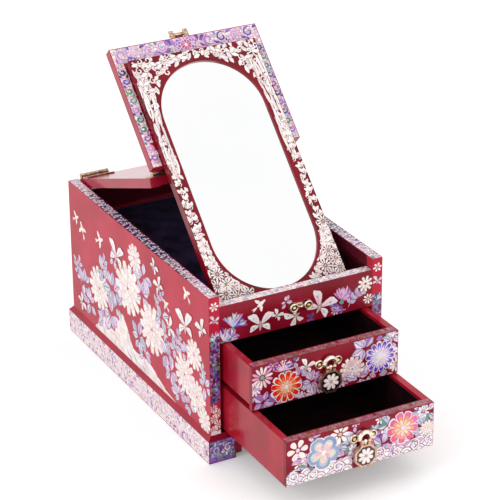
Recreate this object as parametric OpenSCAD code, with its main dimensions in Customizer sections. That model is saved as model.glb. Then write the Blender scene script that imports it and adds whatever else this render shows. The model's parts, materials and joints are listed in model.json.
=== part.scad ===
// Lacquered mirror box with a two-leaf folding lid, a hinged mirror and two
// drawers. Millimetres, +X to the right, +Y to the back, +Z up. The origin is
// on the ground, midway between the foremost pull and the hinges at the back.
// The box stands as it is used: the lid is folded back as a prop, the mirror
// leans on it with its foot behind the front rail, and both drawers are out.

/* [Carcass] */
// Width over the side boards
box_w = 170; // [150:1:200]
// Depth from the face of the front rail to the back of the back panel
box_d = 288; // [270:1:310]
// Height of the top edges of the side boards
side_top = 157; // [155:0.5:175]
// Thickness of the side boards
side_t = 10; // [8:0.5:12]
// Thickness of the front rail
rail_t = 10; // [8:0.5:11]
// Thickness of the back panel
back_t = 10; // [8:0.5:12]
// Height of the top of the front rail, the ledges and the back panel
rail_top = 146.8; // [144:0.2:150]
// Height of the underside of the front rail
rail_bottom = 112.1; // [111:0.1:116]
// Height of the upper face of the base board
base_top = 24.3; // [20:0.1:26]
// Thickness of the base board
base_t = 8; // [6:0.5:10]

/* [Plinth] */
// Height of the upright face of the plinth
plinth_h = 21.8; // [18:0.2:24]
// How far the plinth stands out past the carcass
plinth_out = 3.6; // [2:0.2:6]
// Rise of the bevel from the plinth's face to the carcass
plinth_bevel = 4.2; // [2:0.2:6]
// Width of the shelf inside the plinth that carries the base board
plinth_shelf = 8.4; // [5:0.2:12]
// Length of a front foot along the ground, from the plinth's corner
foot_len = 26; // [18:0.5:34]
// Height of the opening between the front feet
foot_rise = 15.4; // [10:0.2:16]

/* [Tray] */
// Height of the velvet that lines the tray
tray_top = 124; // [120:0.5:126]
// Thickness of the velvet pad
velvet_t = 1.5; // [1:0.1:3]
// Thickness of the board under the velvet
tray_board_t = 9; // [6:0.5:9]
// Width of the ledges that carry the closed lid
ledge_w = 3.6; // [2:0.2:5]
// Width of the bead along the back of the tray
bead_w = 2.7; // [1.5:0.1:4]
// Height of the bead along the back of the tray
bead_h = 2.5; // [1.5:0.1:4]
// Distance from the side of the mirror to the end of the cleat under its foot
rest_inset = 5; // [2:0.5:20]
// Height of the top of the cleat over the lower corner of the mirror's face
rest_lip = 2.2; // [1:0.1:3]

/* [Lid] */
// Thickness of both leaves
leaf_t = 8.8; // [8:0.1:9.8]
// Length of the front leaf
front_leaf = 118; // [112:0.5:124]
// Distance from the face of the rail to the closed lid
lid_back_set = 4.7; // [3:0.1:6]
// Gap between the two leaves
leaf_gap = 0.4; // [0.3:0.1:1]
// Gap between the lid and a side board
lid_side_gap = 1.5; // [0.5:0.1:3]
// Gap between the underside of the closed lid and what it lies on
lid_rest_gap = 0.2; // [0.1:0.1:0.4]
// Distance from the back of the rail to the foot of the mirror as it stands
foot_in = 12.1; // [11.5:0.1:20]
// Distance from the top of the rail down to the foot of the mirror
foot_down = 10.7; // [8:0.1:12]
// Depth of the recess in the leaves that takes the mirror
recess_d = 0.9; // [0.8:0.1:1.2]

/* [Lid hinges] */
// Distance from the side of the lid to the end of a hinge
hinge_inset = 2.5; // [2:0.5:14]
// Length of a hinge barrel
hinge_len = 28; // [20:1:30]
// Radius of a knuckle of the back hinges
back_knuckle_r = 2.4; // [2:0.1:2.5]
// Radius of a knuckle of the middle hinges
mid_knuckle_r = 2.9; // [2.2:0.1:3.2]
// Distance of the back axis behind the back panel
back_axis_out = 2.5; // [2.5:0.1:4]
// Height of the back axis over the closed lid
back_axis_up = 2; // [2:0.1:3]
// Height of the middle axis over the closed lid
mid_axis_up = 3.5; // [3.3:0.1:5]
// Thickness of the hinge plates
plate_t = 1.2; // [0.8:0.1:1.4]
// Length of the plates of the back hinges
back_plate_l = 14; // [8:0.5:20]
// Length of the plates of the middle hinges
mid_plate_l = 11; // [8:0.5:20]
// Radius of the hinge pins
hinge_pin_r = 1.2; // [0.8:0.1:1.4]
// Radial clearance of every pin that turns
pin_play = 0.05; // [0.03:0.01:0.08]
// Side clearance between two knuckles
knuckle_gap = 0.3; // [0.2:0.1:0.6]

/* [Mirror] */
// Length of the mirror board
mirror_len = 238; // [225:0.5:238]
// Distance from the side of the lid to the side of the mirror board
mirror_inset = 10.25; // [8:0.25:14]
// Thickness of the mirror board
mirror_t = 8; // [7.5:0.1:8.5]
// Distance from the clasp edge of the lid to the top of the mirror board
mirror_drop = 17.4; // [15:0.1:22]
// Gap between the mirror board and the bottom of its recess
mirror_gap = 0.5; // [0.3:0.1:1]
// Gap between the mirror board and the sides of its recess
mirror_side_gap = 1; // [0.5:0.1:2]
// Width of the frame beside the round-ended window
frame_w = 13; // [10:0.1:20]
// Frame between the top of the window and the top of the board
window_top = 12.3; // [8:0.1:20]
// Frame between the foot of the window and the foot of the board
window_foot = 2.8; // [2:0.1:12]
// Depth of the frame's front lip over the glass
lip_t = 1.6; // [1:0.1:2.5]
// Thickness of the glass
glass_t = 2.4; // [2:0.1:3]
// Overlap of the frame's lip on the glass
lip_w = 1.6; // [1:0.1:2]
// Distance of the mirror's hinge axis below the top of the board
mirror_axis_down = 2.3; // [2.2:0.1:3]
// Distance of the mirror's hinge axis in front of the leaf's inner face
mirror_axis_out = 2.4; // [2.2:0.1:2.6]
// Chamfer behind the top of the mirror board, so that it can swing
mirror_chamfer = 3; // [3:0.1:4]
// Radius of a knuckle of the mirror's hinges
mirror_knuckle_r = 1.9; // [1.6:0.1:1.9]
// Radius of the mirror's hinge pins
mirror_pin_r = 0.9; // [0.6:0.1:1]
// Distance from the side of the mirror to the end of its hinge
mirror_hinge_inset = 12; // [6:1:24]
// Length of a mirror hinge
mirror_hinge_len = 22; // [15:1:28]

/* [Drawers] */
// Gap between a drawer and the side boards
drawer_gap = 3.65; // [2:0.05:8]
// Length of a drawer from its face to its back
drawer_len = 275.5; // [230:0.5:275.5]
// Thickness of a drawer's front
drawer_front_t = 9.1; // [7:0.1:11]
// Part of the front's thickness that covers the ends of the sides
drawer_lap = 4.3; // [3:0.1:6]
// Thickness of a drawer's sides and back
drawer_wall = 6.1; // [4:0.1:8]
// Thickness of a drawer's bottom
drawer_floor = 3; // [2:0.1:4]
// Height of a drawer's bottom over the lower edge of its sides
drawer_floor_up = 1.5; // [1:0.1:3]
// Thickness of the black felt in a drawer
felt_t = 1; // [0.6:0.1:1.5]
// Distance from the top of a drawer to the top of its felt
felt_drop = 3; // [2:0.5:8]
// Height of the lower drawer
lower_h = 41.8; // [36:0.1:42]
// Height of the upper drawer's front
upper_h = 40.8; // [36:0.1:41]
// How far the front of the upper drawer hangs below its sides
upper_skirt = 4.7; // [3:0.1:5]
// Gap between the fronts of the two drawers
front_gap = 1.2; // [0.8:0.1:2]
// Running gap under a drawer
run_gap = 0.3; // [0.2:0.1:0.5]
// Running gap beside a drawer
guide_gap = 0.35; // [0.2:0.05:0.6]
// Height of the strips that the lower drawer runs on
runner_h = 3; // [2:0.1:4]
// Width of the strips that the lower drawer runs on
runner_w = 9; // [6:0.5:12]
// Height of the guides beside the drawers
guide_h = 12; // [6:0.5:20]
// Distance of the runners and guides from the front
runner_set = 22; // [12:1:30]
// Thickness of the shelf between the drawers
shelf_t = 5; // [3:0.1:5.1]
// How far the upper drawer is pulled out
upper_out = 50; // [0:1:100]
// How far the lower drawer is pulled out
lower_out = 108.5; // [0:0.5:160]

/* [Pulls and clasp] */
// Distance of the pulls and the clasp from the middle
metal_x = 2; // [-10:0.5:10]
// Distance between the two rosettes of a pull
rosette_pitch = 18; // [16:0.5:22]
// Radius of a rosette
rosette_r = 4.2; // [3:0.1:5]
// Thickness of a rosette
rosette_t = 1.2; // [0.8:0.1:1.6]
// Radius of the domed nail in a rosette
nail_r = 2.1; // [1.5:0.1:2.6]
// Height of the rosettes over the middle of the drawer's front
rosette_up = 7.5; // [5:0.1:9]
// Rise of the bow between the rosettes
bow_rise = 5.5; // [4:0.1:7]
// Half the breadth of the bow's bar
bow_r = 2.1; // [1.5:0.1:2.3]
// Distance of a pull's axis in front of the drawer
pull_out = 3.7; // [3.4:0.1:5]
// Distance of a pull's axis below the rosettes
pull_down = 3; // [2.5:0.1:4]
// Radius of a pull's eyes
eye_r = 1.9; // [1.6:0.1:2.2]
// Radius of a pull's pin
pull_pin_r = 0.8; // [0.6:0.05:1]
// Width of the eight-sided pendant over its flats
pendant_w = 21; // [16:0.5:22]
// Thickness of the pendant
pendant_t = 3; // [2.4:0.1:3.6]
// Width of the pendant's rim
pendant_rim = 1.8; // [1:0.1:3]
// Depth of the enamel in the pendant
enamel_t = 0.8; // [0.5:0.1:1.2]
// Distance from a pull's axis to the top of the pendant
pendant_drop = 2.9; // [2.5:0.1:4]
// Height of the clasp's catch below the top of the rail
catch_down = 16; // [12:0.5:22]
// Distance between the two rosettes of the catch
catch_pitch = 14; // [12:0.5:20]
// Radius of the staple's loop
staple_r = 2.6; // [2:0.1:3]
// Distance between the horns that hold the hasp
horn_pitch = 14; // [12:0.5:18]
// Distance of the hasp's axis past the clasp edge
horn_out = 7.4; // [7:0.1:9]
// Length of the horns past the hasp's axis
horn_tip = 4.6; // [2:0.1:6]
// Width of a horn
horn_w = 4.2; // [3:0.1:5]
// Width of the hasp
hasp_w = 8; // [6:0.5:9]

/* [Hidden] */
$fn = 48;
e = 0.01;
red = [0.52, 0.07, 0.13];
dark_red = [0.3, 0.03, 0.07];
brass = [0.78, 0.6, 0.42];

// Planes of the carcass
y_reach = lower_out + pull_out + eye_r;
y_tail = back_axis_out + back_knuckle_r;
y_front = (y_reach - box_d - y_tail) / 2;
y_back = y_front + box_d;
y_centre = y_front + box_d / 2;
y_rail = y_front + rail_t;
y_panel = y_back - back_t;
x_in = box_w / 2 - side_t;
base_bottom = base_top - base_t;
tray_under = tray_top - velvet_t - tray_board_t;

// The lid is laid out closed, then turned about its hinges
lid_bottom = rail_top + lid_rest_gap;
lid_top = lid_bottom + leaf_t;
lid_w = 2 * (x_in - lid_side_gap);
hinge_x = lid_w / 2 - hinge_inset - hinge_len / 2;
mirror_w = lid_w - 2 * mirror_inset;
mirror_hinge_x = mirror_w / 2 - mirror_hinge_inset - mirror_hinge_len / 2;
window_w = mirror_w - 2 * frame_w;
rest_w = mirror_w - 2 * rest_inset;
drawer_w = 2 * (x_in - drawer_gap);
y_lid = y_front + lid_back_set;
y_seam = y_lid + front_leaf;
y_leaf2 = y_seam + leaf_gap;
back_axis = [0, y_back + back_axis_out, lid_top + back_axis_up];
mid_axis = [0, y_seam + leaf_gap / 2, lid_top + mid_axis_up];

// The mirror, closed, with its face down
y_mirror = y_lid + mirror_drop;
mirror_back_z = lid_bottom + recess_d - mirror_gap;
mirror_face_z = mirror_back_z - mirror_t;
mirror_axis = [0, y_mirror + mirror_axis_down, lid_bottom - mirror_axis_out];
y_recess = y_mirror - mirror_side_gap;
mortise_l = 10;
mortise_d = 2.2;
rebate_d = mirror_axis_out + mirror_knuckle_r + 0.4;
recess_w = mirror_w + 2 * mirror_side_gap;
recess_end = y_mirror + mirror_len + mirror_side_gap;

// The back axis, the middle axis and the foot of the mirror form a triangle of
// known sides: this gives the angles at which the leaves stand
foot_shut = [y_mirror + mirror_len, mirror_face_z];
foot_rest = [y_rail + foot_in, rail_top - foot_down];
back_pt = [back_axis[1], back_axis[2]];
mid_pt = [mid_axis[1], mid_axis[2]];
leg_a = norm(mid_pt - back_pt);
leg_b = norm(foot_shut - mid_pt);
leg_c = norm(foot_rest - back_pt);
corner = acos((leg_a * leg_a + leg_c * leg_c - leg_b * leg_b) / (2 * leg_a * leg_c));
function slope(v) = atan2(v[1], -v[0]);
rear_angle = slope(foot_rest - back_pt) + corner - slope(mid_pt - back_pt);
mid_rest = back_pt + leg_a * [-cos(rear_angle + slope(mid_pt - back_pt)),
    sin(rear_angle + slope(mid_pt - back_pt))];
whole_turn = atan2(foot_shut[1] - mid_pt[1], foot_shut[0] - mid_pt[0])
    - atan2(foot_rest[1] - mid_rest[1], foot_rest[0] - mid_rest[0]);
fold_angle = whole_turn - rear_angle;
lean_angle = 180 - whole_turn;

// The foot of the mirror where it stands, found by turning its lower corners
function turn(p, c, a) = [c[0] + (p[0] - c[0]) * cos(a) + (p[1] - c[1]) * sin(a),
    c[1] - (p[0] - c[0]) * sin(a) + (p[1] - c[1]) * cos(a)];
function stand(p) = turn(turn(p, [mid_axis[1], mid_axis[2]], fold_angle),
    [back_axis[1], back_axis[2]], rear_angle);
foot_front = stand([y_mirror + mirror_len, mirror_face_z]);
foot_back = stand([y_mirror + mirror_len, mirror_back_z]);
foot_slope = (foot_back[0] - foot_front[0]) / (foot_front[1] - foot_back[1]);
rest_gap = 0.3;
rest_top = foot_front[1] + rest_lip;
function rest_y(z) = foot_front[0] - rest_gap * cos(lean_angle)
    + (foot_front[1] - rest_gap * sin(lean_angle) - z) * foot_slope;

// Heights of the drawers
lower_bottom_z = base_top + runner_h + run_gap;
lower_top_z = lower_bottom_z + lower_h;
upper_bottom_z = lower_top_z + front_gap;
upper_top_z = upper_bottom_z + upper_h;
upper_side_z = upper_bottom_z + upper_skirt;
shelf_top = upper_side_z - run_gap;
guide_t = drawer_gap - guide_gap;

// The pulls
bow_half = rosette_pitch / 2;
bow_ring = (bow_half * bow_half + bow_rise * bow_rise) / (2 * bow_rise);

module raised() {
    translate(back_axis) rotate([-rear_angle, 0, 0]) translate(-back_axis) children();
}
module folded() {
    raised() translate(mid_axis) rotate([-fold_angle, 0, 0]) translate(-mid_axis)
        children();
}
module xrod(r, len) {
    rotate([0, 90, 0]) cylinder(r = r, h = len, center = true);
}
module both(x) {
    translate([x, 0, 0]) children();
    translate([-x, 0, 0]) children();
}

// Carcass
module side_board(s) {
    translate([s > 0 ? x_in : -x_in - side_t, y_front, base_top])
        cube([side_t, box_d, side_top - base_top]);
}
module left_side() {
    color(red) side_board(-1);
}
module right_side() {
    color(red) side_board(1);
}
module front_rail() {
    color(red) translate([-x_in, y_front, rail_bottom])
        cube([2 * x_in, rail_t, rail_top - rail_bottom]);
}
module back_panel() {
    color(dark_red) translate([-x_in, y_panel, base_top])
        cube([2 * x_in, back_t, rail_top - base_top]);
}
module base_board() {
    color(dark_red) translate([-box_w / 2, y_front, base_bottom])
        cube([box_w, box_d, base_t]);
}

// Plinth: one profile, mitred at the corners
module plinth_profile() {
    polygon([[-plinth_shelf, 0], [plinth_out, 0], [plinth_out, plinth_h],
        [0, plinth_h + plinth_bevel], [0, base_bottom], [-plinth_shelf, base_bottom]]);
}
module plinth_run(len, face) {
    half = len / 2 + plinth_out;
    intersection() {
        translate([-half, 0, 0]) rotate([90, 0, 90]) linear_extrude(2 * half)
            translate([face, 0]) plinth_profile();
        linear_extrude(plinth_h + plinth_bevel + 1)
            polygon([[0, face - len / 2], [half, face + plinth_out],
                [-half, face + plinth_out]]);
    }
}
module foot_cut() {
    edge = box_w / 2 + plinth_out - foot_len;
    toe = 4.2;
    brow = (foot_rise - toe) / 2;
    linear_extrude(2 * plinth_shelf + 4 * plinth_out, center = true) difference() {
        translate([-edge, -1]) square([2 * edge, foot_rise + 1]);
        for (s = [-1, 1]) scale([s, 1]) {
            difference() {
                translate([edge - 2 * brow, toe]) square([2 * brow + 1, foot_rise]);
                translate([edge - 2 * brow, toe + brow]) circle(r = brow, $fn = 40);
                translate([edge - 2 * brow - 1, toe - 1]) square([1 + brow, brow + 1]);
            }
            translate([edge + brow * 0.25, toe + brow]) circle(r = brow, $fn = 40);
        }
    }
}
module plinth_front() {
    color(red) translate([0, y_centre, 0]) difference() {
        rotate([0, 0, 180]) plinth_run(box_w, box_d / 2);
        translate([0, -box_d / 2, 0]) rotate([90, 0, 0]) foot_cut();
    }
}
module plinth_back() {
    color(dark_red) translate([0, y_centre, 0]) plinth_run(box_w, box_d / 2);
}
module plinth_side() {
    translate([0, y_centre, 0]) intersection() {
        translate([0, box_d / 2 + plinth_out, 0]) rotate([90, 0, 0])
            linear_extrude(box_d + 2 * plinth_out) translate([box_w / 2, 0])
            plinth_profile();
        linear_extrude(plinth_h + plinth_bevel + 1)
            polygon([[0, -(box_d - box_w) / 2], [box_w / 2 + plinth_out,
                -box_d / 2 - plinth_out], [box_w / 2 + plinth_out,
                box_d / 2 + plinth_out], [0, (box_d - box_w) / 2]]);
    }
}
module plinth_right() {
    color(red) plinth_side();
}
module plinth_left() {
    color(red) mirror([1, 0, 0]) plinth_side();
}

// Tray
module tray_floor() {
    color(dark_red) translate([-x_in, y_rail, tray_under])
        cube([2 * x_in, y_panel - y_rail, tray_board_t]);
}
module tray_velvet() {
    color([0.08, 0.06, 0.14]) translate([-x_in, y_rail, tray_top - velvet_t])
        cube([2 * x_in, y_panel - y_rail, velvet_t]);
}
module ledge(s) {
    translate([s > 0 ? x_in - ledge_w : -x_in, y_rail, tray_top])
        cube([ledge_w, y_panel - y_rail, rail_top - tray_top]);
}
module ledge_left() {
    color(dark_red) ledge(-1);
}
module ledge_right() {
    color(dark_red) ledge(1);
}
module tray_bead() {
    color(red) translate([-x_in + ledge_w, y_panel - bead_w, tray_top])
        cube([2 * (x_in - ledge_w), bead_w, bead_h]);
}
module mirror_rest() {
    color(dark_red) translate([-rest_w / 2, 0, 0]) rotate([90, 0, 90])
        linear_extrude(rest_w)
        polygon([[y_rail, tray_top], [rest_y(tray_top), tray_top],
            [rest_y(rest_top), rest_top], [y_rail, rest_top]]);
}

// What the drawers run on
module drawer_shelf() {
    color(dark_red) translate([-x_in, y_rail, shelf_top - shelf_t])
        cube([2 * x_in, y_panel - y_rail, shelf_t]);
}
module lower_runners() {
    color(dark_red) for (s = [0, 1]) mirror([s, 0, 0])
        translate([0, y_panel, 0]) rotate([90, 0, 0])
        linear_extrude(y_panel - y_front - runner_set)
        polygon([[x_in, base_top], [x_in, base_top + runner_h + guide_h],
            [x_in - guide_t, base_top + runner_h + guide_h],
            [x_in - guide_t, base_top + runner_h], [x_in - runner_w, base_top + runner_h],
            [x_in - runner_w, base_top]]);
}
module upper_guides() {
    color(dark_red) for (s = [0, 1]) mirror([s, 0, 0])
        translate([x_in - guide_t, y_front + runner_set, shelf_top])
        cube([guide_t, y_panel - y_front - runner_set, guide_h]);
}

// Metalwork: a rosette is a washer with a domed nail, its back on y = 0
module rosette() {
    rotate([90, 0, 0]) {
        cylinder(r = rosette_r, h = rosette_t);
        rotate_extrude() intersection() {
            translate([0, rosette_t]) scale([1, 1]) circle(r = nail_r);
            translate([0, rosette_t - e]) square([nail_r, nail_r]);
        }
    }
}
module catch_plate() {
    z = rail_top - catch_down;
    color(brass) translate([metal_x, y_front, z]) {
        both(catch_pitch / 2) rosette();
        translate([-catch_pitch / 2, -rosette_t, -rosette_r * 0.62])
            cube([catch_pitch, rosette_t, rosette_r * 1.24]);
    }
}
module catch_staple() {
    z = rail_top - catch_down;
    color(brass) translate([metal_x, y_front - rosette_t, z]) intersection() {
        rotate_extrude() translate([staple_r, 0]) circle(r = 0.8, $fn = 24);
        translate([-5, -5, -2]) cube([10, 5, 4]);
    }
}

// Lid leaves, laid out closed
module leaf_board(y0, y1) {
    difference() {
        translate([-lid_w / 2, y0, lid_bottom]) cube([lid_w, y1 - y0, leaf_t]);
        translate([-recess_w / 2, y_recess, lid_bottom - 1])
            cube([recess_w, recess_end - y_recess, recess_d + 1]);
        both(mirror_hinge_x) translate([-mirror_hinge_len / 2 - 0.3,
            y_mirror, lid_bottom - 1])
            cube([mirror_hinge_len + 0.6, mortise_l, mortise_d + 1]);
    }
}
module rear_leaf() {
    color(red) raised() leaf_board(y_leaf2, y_back);
}
module front_leaf_board() {
    color(red) folded() leaf_board(y_lid, y_seam);
}

// Butt hinges: the outer knuckles belong to one plate, the middle one to the other
module knuckles(axis, r, len, inner) {
    part = len / 3;
    if (inner) translate(axis) xrod(r, part - 2 * knuckle_gap);
    else both((len - part) / 2) translate(axis) xrod(r, part);
}
module knuckle_bore(axis, r, len) {
    translate(axis) xrod(r, len + 1);
}
module back_hinge_box() {
    web_t = back_axis_out - hinge_pin_r - 0.1;
    difference() {
        union() {
            knuckles(back_axis, back_knuckle_r, hinge_len, false);
            translate([-hinge_len / 2, y_back, rail_top - back_plate_l])
                cube([hinge_len, plate_t, back_plate_l]);
            both(hinge_len / 3) translate([-hinge_len / 6, y_back, rail_top - 1])
                cube([hinge_len / 3, web_t, back_axis[2] + 1.9 - rail_top]);
        }
        knuckle_bore(back_axis, hinge_pin_r, hinge_len);
    }
}
module back_hinge_box_plates() {
    color(brass) both(hinge_x) back_hinge_box();
}
module back_hinge_lid() {
    part = hinge_len / 3 - 2 * knuckle_gap;
    strap_t = back_axis_up - hinge_pin_r - 0.15;
    difference() {
        union() {
            knuckles(back_axis, back_knuckle_r, hinge_len, true);
            translate([-hinge_len / 2, y_back - back_plate_l, lid_top])
                cube([hinge_len, back_plate_l - back_knuckle_r, plate_t]);
            translate([-part / 2, y_back - back_knuckle_r - 1, lid_top])
                cube([part, back_knuckle_r + back_axis_out + 0.6, strap_t]);
        }
        knuckle_bore(back_axis, hinge_pin_r + pin_play, hinge_len);
    }
}
module back_hinge_lid_plates() {
    color(brass) raised() both(hinge_x) back_hinge_lid();
}
module back_hinge_pins() {
    color(brass) both(hinge_x) translate(back_axis) xrod(hinge_pin_r, hinge_len);
}
module seam_up() {
    translate(mid_axis) rotate([150, 0, 0]) translate(-mid_axis) children();
}
module mid_plate(s, inner) {
    part = inner ? hinge_len / 3 - 2 * knuckle_gap : hinge_len / 3;
    y0 = mid_axis[1];
    gap = mid_knuckle_r + 0.5;
    web_h = mid_axis_up - hinge_pin_r - 0.25;
    difference() {
        union() {
            seam_up() knuckles(mid_axis, mid_knuckle_r, hinge_len, inner);
            translate([-hinge_len / 2, s > 0 ? y0 + gap : y0 - gap - mid_plate_l, lid_top])
                cube([hinge_len, mid_plate_l, plate_t]);
            for (x = inner ? [0] : [-hinge_len / 3, hinge_len / 3])
                translate([x - part / 2, s > 0 ? y0 + 0.4 : y0 - gap - 0.6, lid_top])
                cube([part, gap + 0.2, web_h]);
        }
        seam_up() knuckle_bore(mid_axis, inner ? hinge_pin_r + pin_play : hinge_pin_r,
            hinge_len);
    }
}
module mid_hinge_rear_plates() {
    color(brass) raised() both(hinge_x) mid_plate(1, false);
}
module mid_hinge_front_plates() {
    color(brass) folded() both(hinge_x) mid_plate(-1, true);
}
module mid_hinge_pins() {
    color(brass) raised() both(hinge_x) translate(mid_axis)
        xrod(hinge_pin_r, hinge_len);
}

// Mirror, laid out closed with its face down
module stadium(w, len, h) {
    translate([0, w / 2, 0]) cylinder(r = w / 2, h = h, $fn = 96);
    translate([0, len - w / 2, 0]) cylinder(r = w / 2, h = h, $fn = 96);
    translate([-w / 2, w / 2, 0]) cube([w, len - w, h]);
}
window_len = mirror_len - window_top - window_foot;
glass_w = window_w + 2 * lip_w;
glass_len = window_len + 2 * lip_w;
module mirror_frame() {
    color(red) folded() difference() {
        translate([-mirror_w / 2, y_mirror, mirror_face_z])
            cube([mirror_w, mirror_len, mirror_t]);
        translate([0, y_mirror + window_top, mirror_face_z - 1])
            stadium(window_w, window_len, mirror_t);
        translate([0, y_mirror + window_top - lip_w, mirror_face_z + lip_t])
            stadium(glass_w, glass_len, mirror_t);
        translate([-mirror_w / 2 - 1, y_mirror, mirror_back_z]) rotate([90, 0, 90])
            linear_extrude(mirror_w + 2) polygon([[-1, 1], [-1, -mirror_chamfer - 1],
            [mirror_chamfer + 1, 1]]);
        both(mirror_hinge_x) translate([-mirror_hinge_len / 2 - 0.3, y_mirror - 1,
            lid_bottom - rebate_d])
            cube([mirror_hinge_len + 0.6, mirror_axis_down + mirror_knuckle_r + 2.1,
            mirror_t]);
    }
}
module mirror_glass() {
    color([0.85, 0.9, 0.92]) folded()
        translate([0, y_mirror + window_top - lip_w, mirror_face_z + lip_t])
        stadium(glass_w, glass_len, glass_t);
}
module mirror_back() {
    color([0.1, 0.05, 0.05]) folded()
        translate([0, y_mirror + window_top - lip_w, mirror_face_z + lip_t + glass_t])
        stadium(glass_w, glass_len, mirror_t - lip_t - glass_t);
}

// Mirror hinges, out of sight in rebates behind the top of the mirror board:
// posts stand in the leaf, straps sit on the floor of the rebates
module mirror_post() {
    part = mirror_hinge_len / 3;
    root = lid_bottom + mortise_d;
    web_z = mirror_axis[2] + mirror_pin_r + 0.15;
    y0 = mirror_axis[1];
    difference() {
        union() {
            knuckles(mirror_axis, mirror_knuckle_r, mirror_hinge_len, false);
            both(part) translate([-part / 2, y0 - 0.6, web_z])
                cube([part, mirror_knuckle_r + 1.2, root - web_z]);
            translate([-mirror_hinge_len / 2, y0 + mirror_knuckle_r + 0.4, root - 1])
                cube([mirror_hinge_len, mortise_l - mirror_axis_down
                    - mirror_knuckle_r - 0.6, 1]);
        }
        knuckle_bore(mirror_axis, mirror_pin_r, mirror_hinge_len);
    }
}
module mirror_hinge_posts() {
    color(brass) folded() both(mirror_hinge_x) mirror_post();
}
module mirror_strap() {
    part = mirror_hinge_len / 3 - 2 * knuckle_gap;
    y0 = mirror_axis[1];
    difference() {
        union() {
            knuckles(mirror_axis, mirror_knuckle_r, mirror_hinge_len, true);
            translate([-part / 2, y0 + mirror_pin_r + 0.2, mirror_axis[2] - 1])
                cube([part, mirror_knuckle_r - mirror_pin_r + 0.9, 1.7]);
            translate([-mirror_hinge_len / 2, y0 + mirror_knuckle_r + 0.3,
                lid_bottom - rebate_d + 0.3]) cube([mirror_hinge_len, 0.8, 2.8]);
        }
        knuckle_bore(mirror_axis, mirror_pin_r + pin_play, mirror_hinge_len);
    }
}
module mirror_hinge_straps() {
    color(brass) folded() both(mirror_hinge_x) mirror_strap();
}
module mirror_hinge_pins() {
    color(brass) folded() both(mirror_hinge_x) translate(mirror_axis)
        xrod(mirror_pin_r, mirror_hinge_len);
}

// Clasp: a plate with two horns on the front leaf, and the hasp that hangs from it
hasp_axis = [metal_x, y_lid - horn_out, lid_top + 1.6];
hasp_eye_r = 1.8;
hasp_len = hasp_axis[2] - (rail_top - catch_down) + staple_r + 2.4;
hasp_at = stand([hasp_axis[1], hasp_axis[2]]);
module horn() {
    difference() {
        union() {
            translate(hasp_axis) xrod(hasp_eye_r, horn_w);
            translate(hasp_axis - [0, horn_tip - 1.3, 0]) xrod(1.3, horn_w);
            translate([metal_x - horn_w / 2, hasp_axis[1] - horn_tip + 1.3, lid_top + 0.5])
                cube([horn_w, horn_tip + horn_out + 3, 1.7]);
            translate([metal_x - horn_w / 2, y_lid, lid_top]) cube([horn_w, 4, 1.5]);
        }
        knuckle_bore(hasp_axis, 0.7, horn_w);
    }
}
module hasp_plate() {
    color(brass) folded() {
        both(horn_pitch / 2) horn();
        translate([metal_x, y_lid + 7, lid_top]) cylinder(r = 9, h = 1.2);
    }
}
module hasp_pin() {
    color(brass) folded() translate(hasp_axis) xrod(0.7, horn_pitch + horn_w);
}
module hasp_arm() {
    color(brass) translate([metal_x, hasp_at[0], hasp_at[1]]) difference() {
        union() {
            xrod(hasp_eye_r, horn_pitch - horn_w - 2 * knuckle_gap);
            translate([-hasp_w / 2, -0.7, -hasp_len + hasp_w / 2])
                cube([hasp_w, 1.4, hasp_len - hasp_w / 2]);
            translate([0, 0.7, -hasp_len + hasp_w / 2]) rotate([90, 0, 0])
                cylinder(r = hasp_w / 2, h = 1.4);
        }
        xrod(0.7 + pin_play, horn_pitch);
        translate([-hasp_w / 2 + 1.2, -2, -hasp_len + 2.4])
            cube([hasp_w - 2.4, 4, 2 * staple_r + 0.6]);
    }
}

// One drawer: z0 its front's lower edge, zs its sides', z1 its top, out the travel
module drawer_at(out) {
    translate([0, y_front - out, 0]) children();
}
module drawer_front(z0, z1) {
    inner = drawer_w - 2 * drawer_wall;
    translate([-drawer_w / 2, 0, z0]) cube([drawer_w, drawer_lap, z1 - z0]);
    translate([-inner / 2, drawer_lap - e, z0])
        cube([inner, drawer_front_t - drawer_lap + e, z1 - z0]);
}
module drawer_side(s, zs, z1) {
    translate([s > 0 ? drawer_w / 2 - drawer_wall : -drawer_w / 2, drawer_lap, zs])
        cube([drawer_wall, drawer_len - drawer_lap, z1 - zs]);
}
module drawer_back(zs, z1) {
    inner = drawer_w - 2 * drawer_wall;
    translate([-inner / 2, drawer_len - drawer_wall, zs])
        cube([inner, drawer_wall, z1 - zs]);
}
module drawer_bottom(zs) {
    inner = drawer_w - 2 * drawer_wall;
    translate([-inner / 2, drawer_front_t, zs + drawer_floor_up])
        cube([inner, drawer_len - drawer_front_t - drawer_wall, drawer_floor]);
}
module drawer_felt(zs, z1) {
    inner = drawer_w - 2 * drawer_wall;
    deep = drawer_len - drawer_front_t - drawer_wall;
    floor_z = zs + drawer_floor_up + drawer_floor;
    translate([-inner / 2, drawer_front_t, floor_z]) difference() {
        cube([inner, deep, z1 - felt_drop - floor_z]);
        translate([felt_t, felt_t, felt_t])
            cube([inner - 2 * felt_t, deep - 2 * felt_t, z1]);
    }
}

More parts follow.
